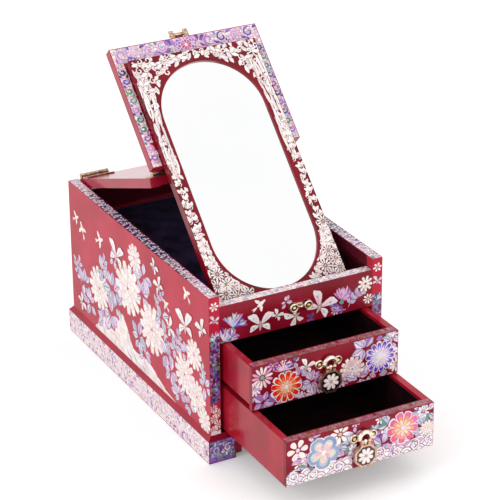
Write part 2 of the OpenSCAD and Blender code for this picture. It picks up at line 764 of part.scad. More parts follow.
// A pull: two rosettes, the bow between them and the tongue that holds the pin
module bow_shape() {
    intersection() {
        translate([0, bow_rise - bow_ring]) difference() {
            circle(r = bow_ring + bow_r, $fn = 96);
            circle(r = bow_ring - bow_r, $fn = 96);
        }
        translate([-bow_half - bow_r, 0]) square([2 * (bow_half + bow_r), 2 * bow_ring]);
    }
    for (s = [-1, 1]) translate([s * bow_half, 0]) circle(r = bow_r);
    translate([-1.5, -pull_down]) square([3, pull_down + bow_rise - 0.5]);
}
module bow(zc) {
    rise = zc + rosette_up;
    difference() {
        translate([metal_x, 0, rise]) union() {
            both(bow_half) rosette();
            both(bow_half) rotate([90, 0, 0]) cylinder(r = bow_r - 0.5, h = pull_out);
            translate([0, -pull_out + 1.2, 0]) rotate([90, 0, 0]) linear_extrude(2.4)
                bow_shape();
            translate([0, -pull_out, -pull_down]) xrod(eye_r, 3.6);
        }
        translate([metal_x, -pull_out, rise - pull_down]) xrod(pull_pin_r, 8);
    }
}
module pull_pin(zc) {
    translate([metal_x, -pull_out, zc + rosette_up - pull_down])
        xrod(pull_pin_r, 9.4);
}
module octagon(w, t) {
    rotate([90, 0, 0]) rotate([0, 0, 22.5]) translate([0, 0, -t / 2])
        cylinder(r = w / 2 / cos(22.5), h = t, $fn = 8);
}
module pendant(zc) {
    translate([metal_x, -pull_out, zc + rosette_up - pull_down]) difference() {
        union() {
            both(3.35) xrod(eye_r, 2.5);
            both(3.35) translate([-1.25, -1.1, -pendant_drop - 0.3])
                cube([2.5, 2.2, pendant_drop + 0.3]);
            translate([0, 0, -pendant_drop - pendant_w / 2])
                octagon(pendant_w, pendant_t);
        }
        xrod(pull_pin_r + pin_play, 12);
        translate([0, -pendant_t / 2, -pendant_drop - pendant_w / 2])
            octagon(pendant_w - 2 * pendant_rim, 2 * enamel_t);
    }
}
module enamel(zc) {
    translate([metal_x, -pull_out - pendant_t / 2 + enamel_t / 2,
        zc + rosette_up - pull_down - pendant_drop - pendant_w / 2])
        octagon(pendant_w - 2 * pendant_rim, enamel_t);
}
upper_mid = (upper_bottom_z + upper_top_z) / 2;
lower_mid = (lower_bottom_z + lower_top_z) / 2;

module upper_front() {
    color(red) drawer_at(upper_out) drawer_front(upper_bottom_z, upper_top_z);
}
module upper_left() {
    color(red) drawer_at(upper_out) drawer_side(-1, upper_side_z, upper_top_z);
}
module upper_right() {
    color(red) drawer_at(upper_out) drawer_side(1, upper_side_z, upper_top_z);
}
module upper_back() {
    color(red) drawer_at(upper_out) drawer_back(upper_side_z, upper_top_z);
}
module upper_bottom() {
    color(dark_red) drawer_at(upper_out) drawer_bottom(upper_side_z);
}
module upper_felt() {
    color([0.05, 0.05, 0.06]) drawer_at(upper_out) drawer_felt(upper_side_z, upper_top_z);
}
module upper_bow() {
    color(brass) drawer_at(upper_out) bow(upper_mid);
}
module upper_pull_pin() {
    color(brass) drawer_at(upper_out) pull_pin(upper_mid);
}
module upper_pendant() {
    color(brass) drawer_at(upper_out) pendant(upper_mid);
}
module upper_enamel() {
    color([0.03, 0.03, 0.05]) drawer_at(upper_out) enamel(upper_mid);
}
module lower_front() {
    color(red) drawer_at(lower_out) drawer_front(lower_bottom_z, lower_top_z);
}
module lower_left() {
    color(red) drawer_at(lower_out) drawer_side(-1, lower_bottom_z, lower_top_z);
}
module lower_right() {
    color(red) drawer_at(lower_out) drawer_side(1, lower_bottom_z, lower_top_z);
}
module lower_back() {
    color(red) drawer_at(lower_out) drawer_back(lower_bottom_z, lower_top_z);
}
module lower_bottom() {
    color(dark_red) drawer_at(lower_out) drawer_bottom(lower_bottom_z);
}
module lower_felt() {
    color([0.05, 0.05, 0.06]) drawer_at(lower_out)
        drawer_felt(lower_bottom_z, lower_top_z);
}
module lower_bow() {
    color(brass) drawer_at(lower_out) bow(lower_mid);
}
module lower_pull_pin() {
    color(brass) drawer_at(lower_out) pull_pin(lower_mid);
}
module lower_pendant() {
    color(brass) drawer_at(lower_out) pendant(lower_mid);
}
module lower_enamel() {
    color([0.03, 0.03, 0.05]) drawer_at(lower_out) enamel(lower_mid);
}

left_side();
right_side();
front_rail();
back_panel();
base_board();
plinth_front();
plinth_back();
plinth_left();
plinth_right();
tray_floor();
tray_velvet();
ledge_left();
ledge_right();
tray_bead();
mirror_rest();
drawer_shelf();
lower_runners();
upper_guides();
catch_plate();
catch_staple();
rear_leaf();
front_leaf_board();
back_hinge_box_plates();
back_hinge_lid_plates();
back_hinge_pins();
mid_hinge_rear_plates();
mid_hinge_front_plates();
mid_hinge_pins();
mirror_frame();
mirror_glass();
mirror_back();
mirror_hinge_posts();
mirror_hinge_straps();
mirror_hinge_pins();
hasp_plate();
hasp_arm();
hasp_pin();
upper_front();
upper_left();
upper_right();
upper_back();
upper_bottom();
upper_felt();
upper_bow();
upper_pull_pin();
upper_pendant();
upper_enamel();
lower_front();
lower_left();
lower_right();
lower_back();
lower_bottom();
lower_felt();
lower_bow();
lower_pull_pin();
lower_pendant();
lower_enamel();
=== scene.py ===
# %% [markdown]
# # A lacquered mirror box with mother-of-pearl
# The box is a traditional dressing box: a wooden carcass under wine-red
# lacquer, inlaid with thin chips of shell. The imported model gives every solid
# in its right place. Here the solids get their finishes, and the shell work,
# which is too fine for the solids, is laid on their faces.

import json
import math
import random

import bmesh
import bpy
from mathutils import Matrix, Vector, noise

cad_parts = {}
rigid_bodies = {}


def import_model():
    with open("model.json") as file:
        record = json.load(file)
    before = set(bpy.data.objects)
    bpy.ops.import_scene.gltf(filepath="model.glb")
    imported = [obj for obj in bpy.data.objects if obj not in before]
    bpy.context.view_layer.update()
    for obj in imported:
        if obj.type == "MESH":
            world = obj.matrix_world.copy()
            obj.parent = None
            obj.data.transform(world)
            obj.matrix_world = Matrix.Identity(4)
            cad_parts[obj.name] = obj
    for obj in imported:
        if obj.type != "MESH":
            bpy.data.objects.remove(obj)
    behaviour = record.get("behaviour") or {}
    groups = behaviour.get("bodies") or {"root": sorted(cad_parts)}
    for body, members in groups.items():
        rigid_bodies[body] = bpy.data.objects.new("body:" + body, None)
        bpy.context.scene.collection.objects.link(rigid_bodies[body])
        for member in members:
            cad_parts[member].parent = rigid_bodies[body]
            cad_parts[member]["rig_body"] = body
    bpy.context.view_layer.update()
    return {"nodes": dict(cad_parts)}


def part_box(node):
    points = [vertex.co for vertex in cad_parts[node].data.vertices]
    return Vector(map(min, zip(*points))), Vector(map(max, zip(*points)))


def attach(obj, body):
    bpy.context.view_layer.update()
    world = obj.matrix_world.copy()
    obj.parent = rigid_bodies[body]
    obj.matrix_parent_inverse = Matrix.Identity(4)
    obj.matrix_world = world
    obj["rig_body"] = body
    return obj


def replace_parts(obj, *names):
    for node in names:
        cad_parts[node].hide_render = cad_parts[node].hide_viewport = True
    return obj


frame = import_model()
dice = random.Random(7)


# %% [markdown]
# ## Small helpers
# A colour is written as a hex value in sRGB, as a paint card gives it, and
# turned to the linear values that the renderer needs. Every material is built
# with one function that adds a node, sets what it is told and links the rest.
# The others name what most materials need: noise, bump, a range, a sum.


# %% Colour and node helpers
def ink(hex_code):
    parts = [int(hex_code[i : i + 2], 16) / 255 for i in (1, 3, 5)]
    linear = [c / 12.92 if c <= 0.04045 else ((c + 0.055) / 1.055) ** 2.4 for c in parts]
    return (*linear, 1.0)


def add(tree, kind, sockets=None, **settings):
    node = tree.nodes.new(kind)
    for name, value in settings.items():
        setattr(node, name, value)
    for name, value in (sockets or {}).items():
        if isinstance(value, bpy.types.NodeSocket):
            tree.links.new(value, node.inputs[name])
        else:
            node.inputs[name].default_value = value
    return node


def finish(name):
    made = bpy.data.materials.new(name)
    made.use_nodes = True
    made.node_tree.nodes.clear()
    return made, made.node_tree


def show(tree, shader):
    out = add(tree, "ShaderNodeOutputMaterial")
    tree.links.new(shader.outputs[0], out.inputs["Surface"])


def ramp(tree, factor, *stops):
    band = add(tree, "ShaderNodeValToRGB", {0: factor})
    keys = band.color_ramp.elements
    while len(keys) < len(stops):
        keys.new(0.5)
    for key, (at, colour) in zip(keys, stops):
        key.position = at
        key.color = ink(colour) if isinstance(colour, str) else colour
    return band.outputs[0]


def cloudy(tree, place, scale, detail=2.0, distortion=0.0):
    sockets = {"Vector": place, "Scale": scale, "Detail": detail, "Distortion": distortion}
    return add(tree, "ShaderNodeTexNoise", sockets).outputs[0]


def bumpy(tree, height, strength, distance):
    sockets = {"Height": height, "Strength": strength, "Distance": distance}
    return add(tree, "ShaderNodeBump", sockets).outputs[0]


def mapped(tree, value, low, high):
    sockets = {"Value": value, "To Min": low, "To Max": high}
    return add(tree, "ShaderNodeMapRange", sockets).outputs[0]


def calc(tree, operation, *values):
    return add(tree, "ShaderNodeMath", dict(enumerate(values)), operation=operation).outputs[0]


def surface(tree, sockets):
    show(tree, add(tree, "ShaderNodeBsdfPrincipled", sockets))


# %% [markdown]
# ## Lacquer
# Lacquer is a deep red resin built up in many polished coats. The eye sees a
# saturated colour with faint clouds in it, and above it a clear, nearly sharp
# reflection. A low roughness with a slow bump gives the slight unevenness of a
# hand-polished board. Clouds are about 40 mm wide, polishing waves about 6 mm.
# The inner faces of the carcass boards are painted darker, as painted shade inside the box, so for
# these boards the material asks whether a point lies within the walls.


# %% Lacquer materials
def lacquer(name, deep, bright, gloss=0.16, mirrored=0.5, coat=0.25, inner=None):
    made, tree = finish(name)
    place = add(tree, "ShaderNodeTexCoord").outputs["Object"]
    clouds = cloudy(tree, place, 25.0, 3.0)
    waves = cloudy(tree, place, 160.0)
    colour = ramp(tree, clouds, (0.32, deep), (0.7, bright))
    if inner:
        colour = paint_inner_shade(tree, place, colour, inner)
    surface(tree, {
        "Base Color": colour,
        "Roughness": mapped(tree, clouds, gloss * 0.75, gloss * 1.3),
        "IOR": 1.5,
        "Specular IOR Level": mirrored,
        "Coat Weight": coat,
        "Coat Roughness": 0.05,
        "Normal": bumpy(tree, waves, 0.05, 0.0006),
    })
    return made


# Middle and half size of the space between the walls, across and along, in metres
WALLS = ((0, 0.0, 0.0752), (1, 0.0546, 0.1342))


# Painted shade: points between the walls get the darker inner colour instead of the lacquer.
def paint_inner_shade(tree, place, outer, inner):
    parts = add(tree, "ShaderNodeSeparateXYZ", {0: place}).outputs
    shade_masks = []
    for part, centre, half in WALLS:
        span = calc(tree, "ABSOLUTE", calc(tree, "SUBTRACT", parts[part], centre))
        shade_masks.append(calc(tree, "LESS_THAN", span, half))
    shade_mask = calc(tree, "MULTIPLY", *shade_masks)
    both = add(tree, "ShaderNodeMix", {0: shade_mask, 6: outer, 7: ink(inner)}, data_type="RGBA")
    return both.outputs[2]


wine_lacquer = lacquer("wine_lacquer", "#9C142C", "#B2223C", mirrored=0.3, coat=0.1)
# The inner colour #5E1626 is painted shade inside the box, not a different coat.
carcass_lacquer = lacquer(
    "carcass_lacquer", "#AC1830", "#C22842", mirrored=0.14, coat=0.04, inner="#5E1626"
)
# The same red lacquer painted darker: painted shade on the front faces, which face away from the
# key lamp.
shaded_front_lacquer = lacquer("shaded_front_lacquer", "#780A1C", "#94162E", mirrored=0.18, coat=0.02)
frame_lacquer = lacquer("frame_lacquer", "#700818", "#8C1024", mirrored=0.22, coat=0.05)
edge_lacquer = lacquer("edge_lacquer", "#960E20", "#B82036", gloss=0.2, mirrored=0.22, coat=0.06)
# Nearly black red for the boards inside the box: painted shade of the dark interior.
shaded_inner_lacquer = lacquer("shaded_inner_lacquer", "#2A0408", "#3C070E", gloss=0.22, coat=0.0)
print("lacquers:", [m.name for m in bpy.data.materials])

# %% [markdown]
# ## Velvet and felt
# Velvet is cut pile: dark from above and lighter where one looks along the
# hairs, which is what sheen does. Lighter patches about 15 mm wide, where the
# pile leans, are painted sheen in the colour. The felt in the drawers is nearly black, with fibres
# under 1 mm, drawn at 0.6 mm so that they show at all.


# %% Cloth materials
def pile(name, deep, light, sheen, grain):
    made, tree = finish(name)
    place = add(tree, "ShaderNodeTexCoord").outputs["Object"]
    # Painted sheen: the base colour is lighter in soft patches, standing for the sheen where the
    # pile leans.
    sheen_patches = cloudy(tree, place, 66.0, 5.0)
    surface(tree, {
        "Base Color": ramp(tree, sheen_patches, (0.35, deep), (0.7, light)),
        "Roughness": 0.95,
        "Specular IOR Level": 0.1,
        "Sheen Weight": sheen,
        "Sheen Roughness": 0.4,
        "Sheen Tint": ink("#8A86B8"),
        "Normal": bumpy(tree, cloudy(tree, place, grain), 0.6, 0.0004),
    })
    return made


blue_velvet = pile("blue_velvet", "#0C0612", "#3A2A50", 0.4, 700.0)
black_felt = pile("black_felt", "#080002", "#200507", 0.0, 1600.0)


# %% [markdown]
# ## Brass, enamel and the mirror
# The metalwork is pale brass that has gone brown in its hollows. Small spots
# of tarnish, about 3 mm, change both its colour and its shine. The mirror is
# silvered glass, a nearly perfect reflector.


# %% Metal, enamel and mirror materials
def old_brass(name, bright, brown):
    made, tree = finish(name)
    place = add(tree, "ShaderNodeTexCoord").outputs["Object"]
    spots = cloudy(tree, place, 330.0, 4.0)
    surface(tree, {
        "Base Color": ramp(tree, spots, (0.3, brown), (0.62, bright)),
        "Metallic": 1.0,
        "Roughness": mapped(tree, spots, 0.36, 0.22),
        "Normal": bumpy(tree, cloudy(tree, place, 1500.0), 0.15, 0.0002),
    })
    return made


pale_brass = old_brass("pale_brass", "#FBF1E4", "#D2B89C")
rim_brass = old_brass("rim_brass", "#E6BCA2", "#A87860")
hinge_brass = old_brass("hinge_brass", "#DCC2AA", "#94745E")
gold_brass = old_brass("gold_brass", "#F4CE94", "#C8925C")
# Near-black brass for the flat discs inside the rosette rings: painted shade of their hollows.
hollow_shade_brass = old_brass("hollow_shade_brass", "#2E1C18", "#140A0A")

black_enamel, tree = finish("black_enamel")
place = add(tree, "ShaderNodeTexCoord").outputs["Object"]
surface(tree, {
    "Base Color": ramp(tree, cloudy(tree, place, 400.0), (0.4, "#05050A"), (0.7, "#101020")),
    "Roughness": 0.12,
    "Coat Weight": 0.4,
    "Coat Roughness": 0.05,
})

silvered_glass, tree = finish("silvered_glass")
place = add(tree, "ShaderNodeTexCoord").outputs["Object"]
surface(tree, {
    "Base Color": ramp(tree, cloudy(tree, place, 12.0), (0.2, "#FAFBFB"), (0.8, "#FEFEFE")),
    "Metallic": 1.0,
    "Roughness": 0.01,
})

# %% [markdown]
# ## Which solid gets which finish
# The imported solids keep their shapes. Each one only gets the finish that its
# board or fitting has on the real box, except the fronts and the inside boards,
# whose lacquer is painted darker as painted shade.

# %% Dress the solids
DRESS = {
    carcass_lacquer: "left_side right_side back_panel",
    wine_lacquer: "plinth_left plinth_right plinth_back rear_leaf front_leaf_board",
    shaded_front_lacquer: "front_rail plinth_front upper_front lower_front",
    frame_lacquer: "mirror_frame",
    edge_lacquer: "upper_left upper_right lower_left lower_right tray_bead",
    shaded_inner_lacquer: "ledge_left ledge_right mirror_rest upper_back lower_back base_board"
    " tray_floor drawer_shelf lower_runners upper_guides upper_bottom lower_bottom"
    " mirror_back",
    blue_velvet: "tray_velvet",
    black_felt: "upper_felt lower_felt",
    rim_brass: "upper_pendant lower_pendant",
    hinge_brass: "back_hinge_box_plates back_hinge_lid_plates back_hinge_pins"
    " mid_hinge_rear_plates mid_hinge_front_plates mid_hinge_pins hasp_plate hasp_arm"
    " hasp_pin",
    black_enamel: "upper_enamel lower_enamel",
    silvered_glass: "mirror_glass",
}
dressed = {}
for cloth, names in DRESS.items():
    for name in names.split():
        dressed[name] = cloth
for name, solid in frame["nodes"].items():
    solid.data.materials.clear()
    solid.data.materials.append(dressed.get(name, pale_brass))
print("dressed solids:", len(frame["nodes"]))

# %% [markdown]
# ## Shell
# Mother-of-pearl is cut from thin slices of shell. Each chip has its own
# tint, from ivory to lilac and pale green, because the layers in it split the
# light. Here each chip carries its tint in a colour attribute. Inside a chip
# the colour drifts in streaks about 2 mm wide, towards pink and green.


# %% Shell material
def nacre(name, drift=0.62):
    made, tree = finish(name)
    place = add(tree, "ShaderNodeTexCoord").outputs["Object"]
    shade = add(tree, "ShaderNodeAttribute", attribute_name="shell").outputs
    glow = ramp(
        tree, cloudy(tree, place, 380.0, 3.0, 1.6),
        (0.36, "#A0DCC8"), (0.46, "#FFFFFF"), (0.56, "#F8D0EE"), (0.7, "#CDBCEE"),
    )
    mixed = add(
        tree, "ShaderNodeMix",
        {0: calc(tree, "MULTIPLY", shade["Alpha"], drift), 6: shade["Color"], 7: glow},
        data_type="RGBA", blend_type="MULTIPLY",
    )
    surface(tree, {
        "Base Color": mixed.outputs[2],
        "Roughness": 0.25,
        "Coat Weight": 0.3,
        "Coat Roughness": 0.06,
    })
    return made


pearl = nacre("mother_of_pearl")

# %% [markdown]
# ## Finding a face to draw on
# Each board carries its own picture in shell. The drawing is done flat, in the
# millimetres of one face, and then carried to the face by a matrix. The
# matrix is read from the solid itself: the outermost flat face that looks the
# way one asks for. So the inlay sits right even on the raised lid.


# %% Find a flat face of a solid
def face_of(node, towards, up):
    mesh, towards, up = frame["nodes"][node].data, Vector(towards), Vector(up)
    sums = {}
    for poly in mesh.polygons:
        if poly.normal.dot(towards) > 0.6:
            key = tuple(round(c, 2) for c in poly.normal)
            sums[key] = sums.get(key, Vector()) + poly.normal * poly.area
    normal = max(sums.values(), key=lambda total: total.length).normalized()
    level = max(normal.dot(vert.co) for vert in mesh.vertices)
    up = (up - normal * normal.dot(up)).normalized()
    along = up.cross(normal)
    flat = [v.co for v in mesh.vertices if normal.dot(v.co) > level - 2e-5]
    left, right = min(along.dot(c) for c in flat), max(along.dot(c) for c in flat)
    low, high = min(up.dot(c) for c in flat), max(up.dot(c) for c in flat)
    place = Matrix((along, up, normal)).transposed().to_4x4()
    place.translation = along * left + up * low + normal * level
    return place @ Matrix.Scale(0.001, 4), (right - left) * 1000, (high - low) * 1000


print("left board: %.1f x %.1f mm" % face_of("left_side", (-1, 0, 0), (0, 0, 1))[1:])


# %% [markdown]
# ## Chips of shell
# A chip is sawn from a slice 0.4 mm thick, glued into the board, and lacquered
# over and rubbed until it shows again. Here every chip starts as a circle from
# bmesh. A small function presses the circle into a petal, a leaf or a tile,
# and all chips of a face are thickened together at the end, down into the
# board. A chip laid on another one sits 0.03 mm higher. An operator looks at
# the whole mesh it works on, so a panel is drawn in sheets of 250 chips.


# %% The panel and its chips
# All in mm: a slice, the step between two layers, the smallest area of a chip
SLICE, STEP, SMALLEST = 0.4, 0.03, 0.08
SHEET_CHIPS = 250


class Panel:
    def __init__(self, name, node, towards, up=(0, 0, 1), inside=None, edge=0.35):
        self.name, self.node, self.inside, self.edge = name, node, inside, edge
        self.place, self.wide, self.high = face_of(node, towards, up)
        self.sheets = []
        self.start_sheet()

    def start_sheet(self):
        self.bm = bmesh.new()
        self.tint = self.bm.verts.layers.float_color.new("shell")

    def store_sheet(self):
        sheet = bpy.data.meshes.new(self.name + "_sheet")
        self.bm.to_mesh(sheet)
        self.bm.free()
        self.sheets.append(sheet)

    def chip(self, press, colour, layer=0, segments=8, seam=None, grow=0.45):
        ring = bmesh.ops.create_circle(
            self.bm, cap_ends=True, segments=segments, radius=1.0
        )["verts"]
        spots = []
        for vert in ring:
            x, y = press(vert.co.x, vert.co.y)
            x = min(max(x, self.edge), self.wide - self.edge)
            y = min(max(y, self.edge), self.high - self.edge)
            spots.append((x, y))
        pairs = zip(spots, spots[1:] + spots[:1])
        area = abs(sum(a[0] * b[1] - b[0] * a[1] for a, b in pairs)) / 2
        hidden = self.inside and not all(self.inside(x, y) for x, y in spots)
        if hidden or area < SMALLEST:
            bmesh.ops.delete(self.bm, geom=ring, context="VERTS")
            return
        lift = STEP + STEP * layer + dice.uniform(0, 0.012)
        for vert, (x, y) in zip(ring, spots):
            vert.co = (x, y, lift)
            vert[self.tint] = colour
        if len(self.bm.faces) > SHEET_CHIPS:
            self.store_sheet()
            self.start_sheet()
        if seam:
            cx = sum(x for x, y in spots) / len(spots)
            cy = sum(y for x, y in spots) / len(spots)
            edge = iter(spots)

            def wider(*_):
                x, y = next(edge)
                out = 1 + grow / max(math.hypot(x - cx, y - cy), 0.3)
                return cx + (x - cx) * out, cy + (y - cy) * out

            self.chip(wider, tone(seam), layer - 0.5, segments)

    def lay(self, material, thick=SLICE):
        self.store_sheet()
        bm = bmesh.new()
        for sheet in self.sheets:
            bm.from_mesh(sheet)
            bpy.data.meshes.remove(sheet)
        bmesh.ops.remove_doubles(bm, verts=bm.verts, dist=0.0005)
        bm.normal_update()
        turned = [face for face in bm.faces if face.normal.z < 0]
        bmesh.ops.reverse_faces(bm, faces=turned)
        chips = len(bm.faces)
        bmesh.ops.solidify(bm, geom=bm.faces[:], thickness=thick)
        bmesh.ops.transform(bm, matrix=self.place, verts=bm.verts)
        mesh = bpy.data.meshes.new(self.name)
        bm.to_mesh(mesh)
        bm.free()
        mesh.materials.append(material)
        piece = bpy.data.objects.new(self.name, mesh)
        bpy.context.collection.objects.link(piece)
        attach(piece, frame["nodes"][self.node]["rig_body"])
        print(self.name, "chips:", chips)


# %% [markdown]
# ## Shapes for the chips
# Each shape takes a point of the unit circle and says where it goes: `petal`
# is narrow at its foot, `leaf` has a point at both ends, and `half_leaf` is a
# leaf cut along its rib, so that two halves in two tints show the rib as a
# line of lacquer. A `stroke` bends the circle along a path, thin at both ends
# like the sawn scrolls of the real work.


# %% Shapes
def disc(x, y):
    return x, y


def petal(x, y):
    s = (x + 1) / 2
    return s, 0.5 * y * (0.5 + 0.6 * s)


def round_petal(x, y):
    s = (x + 1) / 2
    return s, 0.5 * y * (0.62 + 0.5 * s)


def club(x, y):
    s = (x + 1) / 2
    return s, 0.5 * math.copysign(math.sqrt(abs(y)), y) * (0.12 + 0.88 * s)


def notched(x, y):
    s = (x + 1) / 2
    return s - (0.09 if x > 0.98 else 0), 0.5 * y * (0.45 + 0.75 * s)


def leaf(x, y):
    return (x + 1) / 2, 0.5 * y * abs(y)


def half_leaf(x, y):
    s = (x + 1) / 2
    return s, (0.05 + 0.23 * (y + 1)) * 4 * s * (1 - s)


def wing(x, y):
    s = (x + 1) / 2
    return s * (1 + 0.3 * max(0, y)), 0.5 * y * (0.1 + 0.85 * s) + 0.1 * s * s


def placed(shape, at, turn, length, width):
    cos, sin = math.cos(turn), math.sin(turn)

    def press(x, y):
        a, b = shape(x, y)
        a, b = a * length, b * width
        return at[0] + a * cos - b * sin, at[1] + a * sin + b * cos

    return press


def stroke(path, width):
    def press(x, y):
        s = (x + 1) / 2
        here, back, ahead = path(s), path(s - 0.01), path(s + 0.01)
        dx, dy = ahead[0] - back[0], ahead[1] - back[1]
        half = y * width / 2 / math.hypot(dx, dy)
        return here[0] - dy * half, here[1] + dx * half

    return press


def polar(at, reach, angle):
    return at[0] + reach * math.cos(angle), at[1] + reach * math.sin(angle)


def bow(start, turn, length, bend=0.2):
    cos, sin = math.cos(turn), math.sin(turn)

    def path(s):
        a, b = s * length, 4 * s * (1 - s) * bend * length
        return start[0] + a * cos - b * sin, start[1] + a * sin + b * cos

    return path


def spiral(at, radius, turn, turns=1.1, hand=1):
    def path(s):
        return polar(at, radius * (1 - 0.78 * s), turn + hand * math.tau * turns * s)

    return path


# %% [markdown]
# ## Tints of shell
# White shell gives ivory. Abalone gives lilac, sea green and blue. Some chips
# are stained: rose, violet, indigo, coral. Every chip takes a tint from its
# family and a slightly different brightness, as no two slices are alike. The
# fourth number says how strongly the streaks show: little in white shell.

# %% Tints
IVORY = ("#FBF2EA", "#F8EAE2", "#F6E6E6", "#FAF3F0")
BLUSH = ("#F0C4D0", "#E8ACC2", "#F4D8DE", "#DE9CBC")
LILAC = ("#E4D2E6", "#D8C0DC", "#EEE2EE", "#CCB0D2", "#E2D4EA")
SEA = ("#C6DCD6", "#B4CCD2", "#D2E2DC", "#B8C2DC")
ORCHID = ("#C88CD0", "#B872C4", "#DCA8DE", "#E6BCE4", "#A862B8")
VIOLET = ("#7A52B6", "#9064C6", "#6844A4", "#A578D2")
INDIGO = ("#2E3A78", "#3F4D98", "#232F66", "#4E5E9E")
GREEN = ("#5A9C84", "#74B29A", "#478674")
NIGHT = ("#12142E", "#1A1034", "#0E1A2C")
DUSK = ("#A04860", "#B05E72", "#8C3C54", "#A06C74", "#86524E", "#9A5A5E")
OCHRE = ("#C08E6C", "#B07C60")
LINE = ("#5C0C20", "#6C1428")
SHADE = ("#8E6A96", "#7C5888", "#A080A8")
TAN = ("#DDB8A6", "#D4AAA4")


def tone(palette, spread=0.07):
    r, g, b, a = ink(dice.choice(palette))
    bright = dice.uniform(1 - spread, 1 + spread)
    streaky = 0.3 if palette[0] in IVORY + TAN + LINE else 1.0
    return min(r * bright, 1), min(g * bright, 1), min(b * bright, 1), streaky


print("ivory in linear light:", [round(c, 2) for c in tone(IVORY)])


# %% [markdown]
# ## Flowers
# A flower is rings of petals around a heart. Under each petal lies a slightly
# larger one in a darker tint, which shows as the fine line that the craftsperson
# engraves between the petals. Peonies have three rings and a small one as their
# heart, daisies have one ring of thin petals, and a thistle opens to one side.


# %% Flowers
def ring_of(panel, at, reach, count, colours, layer=0, seam=None, shape=petal, **more):
    foot = more.get("foot", 0.16) * reach
    broad = more.get("broad", 0.8) * math.tau * reach * 0.62 / count
    turn = more["turn"] if "turn" in more else dice.uniform(0, math.tau)
    sweep = more.get("sweep", math.tau)
    points = 12 if reach > 7 else 8
    for k in range(count):
        angle = turn + sweep * (k + 0.5) / count
        root = polar(at, foot, angle)
        long = (reach - foot) * dice.uniform(0.95, 1.03)
        if seam:
            under = placed(shape, root, angle, long + 0.45, broad + 0.9)
            panel.chip(under, tone(seam), layer, points)
        over = placed(shape, root, angle, long, broad)
        panel.chip(over, tone(colours), layer + 1, points)
        if seam and reach > 9 and colours is IVORY:
            for lean in (-0.1, 0.1):
                rib = bow(root, angle + lean, long * dice.uniform(0.5, 0.75), lean * 0.4)
                panel.chip(stroke(rib, 0.38), tone(TAN), layer + 1.5, 8)


def peony(panel, at, size, colours=IVORY, seam=TAN, heart=IVORY):
    ring_of(panel, at, size, 13, colours, 0, seam, notched, broad=1.0)
    ring_of(panel, at, size * 0.76, 11, colours, 2, seam, notched, broad=1.0)
    ring_of(panel, at, size * 0.52, 8, colours, 4, seam, notched, broad=0.95)
    ring_of(panel, at, size * 0.28, 5, heart, 6, seam, petal, broad=0.9)


def daisy(panel, at, size, count=12, colours=IVORY, heart=TAN, **more):
    more.setdefault("broad", 0.82)
    ring_of(panel, at, size, count, colours, 1, None, petal, foot=0.26, **more)
    panel.chip(placed(disc, at, 0, size * 0.2, size * 0.2), tone(heart), 3)


def thistle(panel, at, size, turn, colours=LILAC, sweep=3.0, count=13):
    for reach, layer in ((1.0, 0), (0.62, 2)):
        for k in range(count):
            angle = turn + sweep * ((k + 0.5) / count - 0.5)
            long = size * reach * dice.uniform(0.8, 1.05)
            thin = stroke(bow(at, angle, long, dice.uniform(-0.08, 0.08)), size * 0.13)
            panel.chip(thin, tone(colours), layer)
    panel.chip(placed(petal, at, turn + math.pi, size * 0.3, size * 0.4), tone(GREEN), 3)


# %% [markdown]
# ## Leaves, butterflies and birds
# Leaves come in pairs of half-leaves. A spray is a stem with leaves on both
# sides. Butterflies and small birds fill the plain lacquer between the plants.
# Their wings are single chips with a few spots, and thin strokes draw feelers
# and tails.


# %% Leaves and animals
def split_leaf(panel, at, turn, length, width, colours=LILAC, layer=0):
    under = placed(leaf, at, turn, length * 1.04, width * 1.2)
    panel.chip(under, tone(SHADE), layer - 0.5)
    for side in (1, -1):
        press = placed(half_leaf, at, turn, length, side * width)
        panel.chip(press, tone(colours, 0.12), layer)


def spray(panel, start, turn, length, pairs, size, colours=LILAC, bend=0.15, stem=LILAC):
    path = bow(start, turn, length, bend)
    panel.chip(stroke(path, 0.9), tone(stem), 0, 12)
    for k in range(pairs):
        s = (k + 0.8) / (pairs + 0.3)
        spot, ahead = path(s), path(s + 0.02)
        heading = math.atan2(ahead[1] - spot[1], ahead[0] - spot[0])
        for side in (1, -1):
            long = size * dice.uniform(0.8, 1.1)
            split_leaf(panel, spot, heading + side * 0.85, long, long * 0.52, colours, 1)
    end = path(1.0)
    split_leaf(panel, end, turn, size, size * 0.5, colours, 1)


def tuft(panel, at, size, count, colours=LILAC, turn=0.0, sweep=math.tau):
    for k in range(count):
        angle = turn + sweep * (k + 0.5) / count + dice.uniform(-0.5, 0.5)
        foot = size * dice.uniform(0.05, 0.3)
        root = polar(at, foot, angle)
        long = size * dice.uniform(0.65, 1.05)
        bend = angle + dice.uniform(-0.45, 0.45)
        split_leaf(panel, root, bend, long, long * 0.6, colours, 1.2 * (k % 4))


def butterfly(panel, at, size, turn, colours=IVORY, spots=LILAC, over=0):
    for side, layer in ((1, over + 1), (-1, over + 3)):
        for angle, long, wide in ((0.95, 1.0, 0.8), (2.05, 0.66, 0.62)):
            heading = turn + side * (angle - 0.3)
            reach = size * long
            shape = placed(wing, at, heading, reach, side * size * wide)
            panel.chip(shape, tone(colours), layer, 12, LINE)
            spot = polar(at, reach * 0.66, heading + side * 0.12)
            vein = bow(at, heading, reach * 0.8, 0.05 * side)
            panel.chip(stroke(vein, size * 0.05), tone(spots), layer + 0.6, 8)
            dot = placed(disc, spot, 0, size * 0.06, size * 0.06)
            panel.chip(dot, tone(spots), over + 4.5)
    rear = polar(at, -size * 0.34, turn)
    panel.chip(placed(leaf, rear, turn, size * 0.66, size * 0.2), tone(TAN), over + 5, 8, LINE)
    for side in (1, -1):
        feeler = bow(at, turn + side * 0.35, size * 0.75, side * 0.15)
        panel.chip(stroke(feeler, size * 0.06), tone(colours), over + 1, 12)


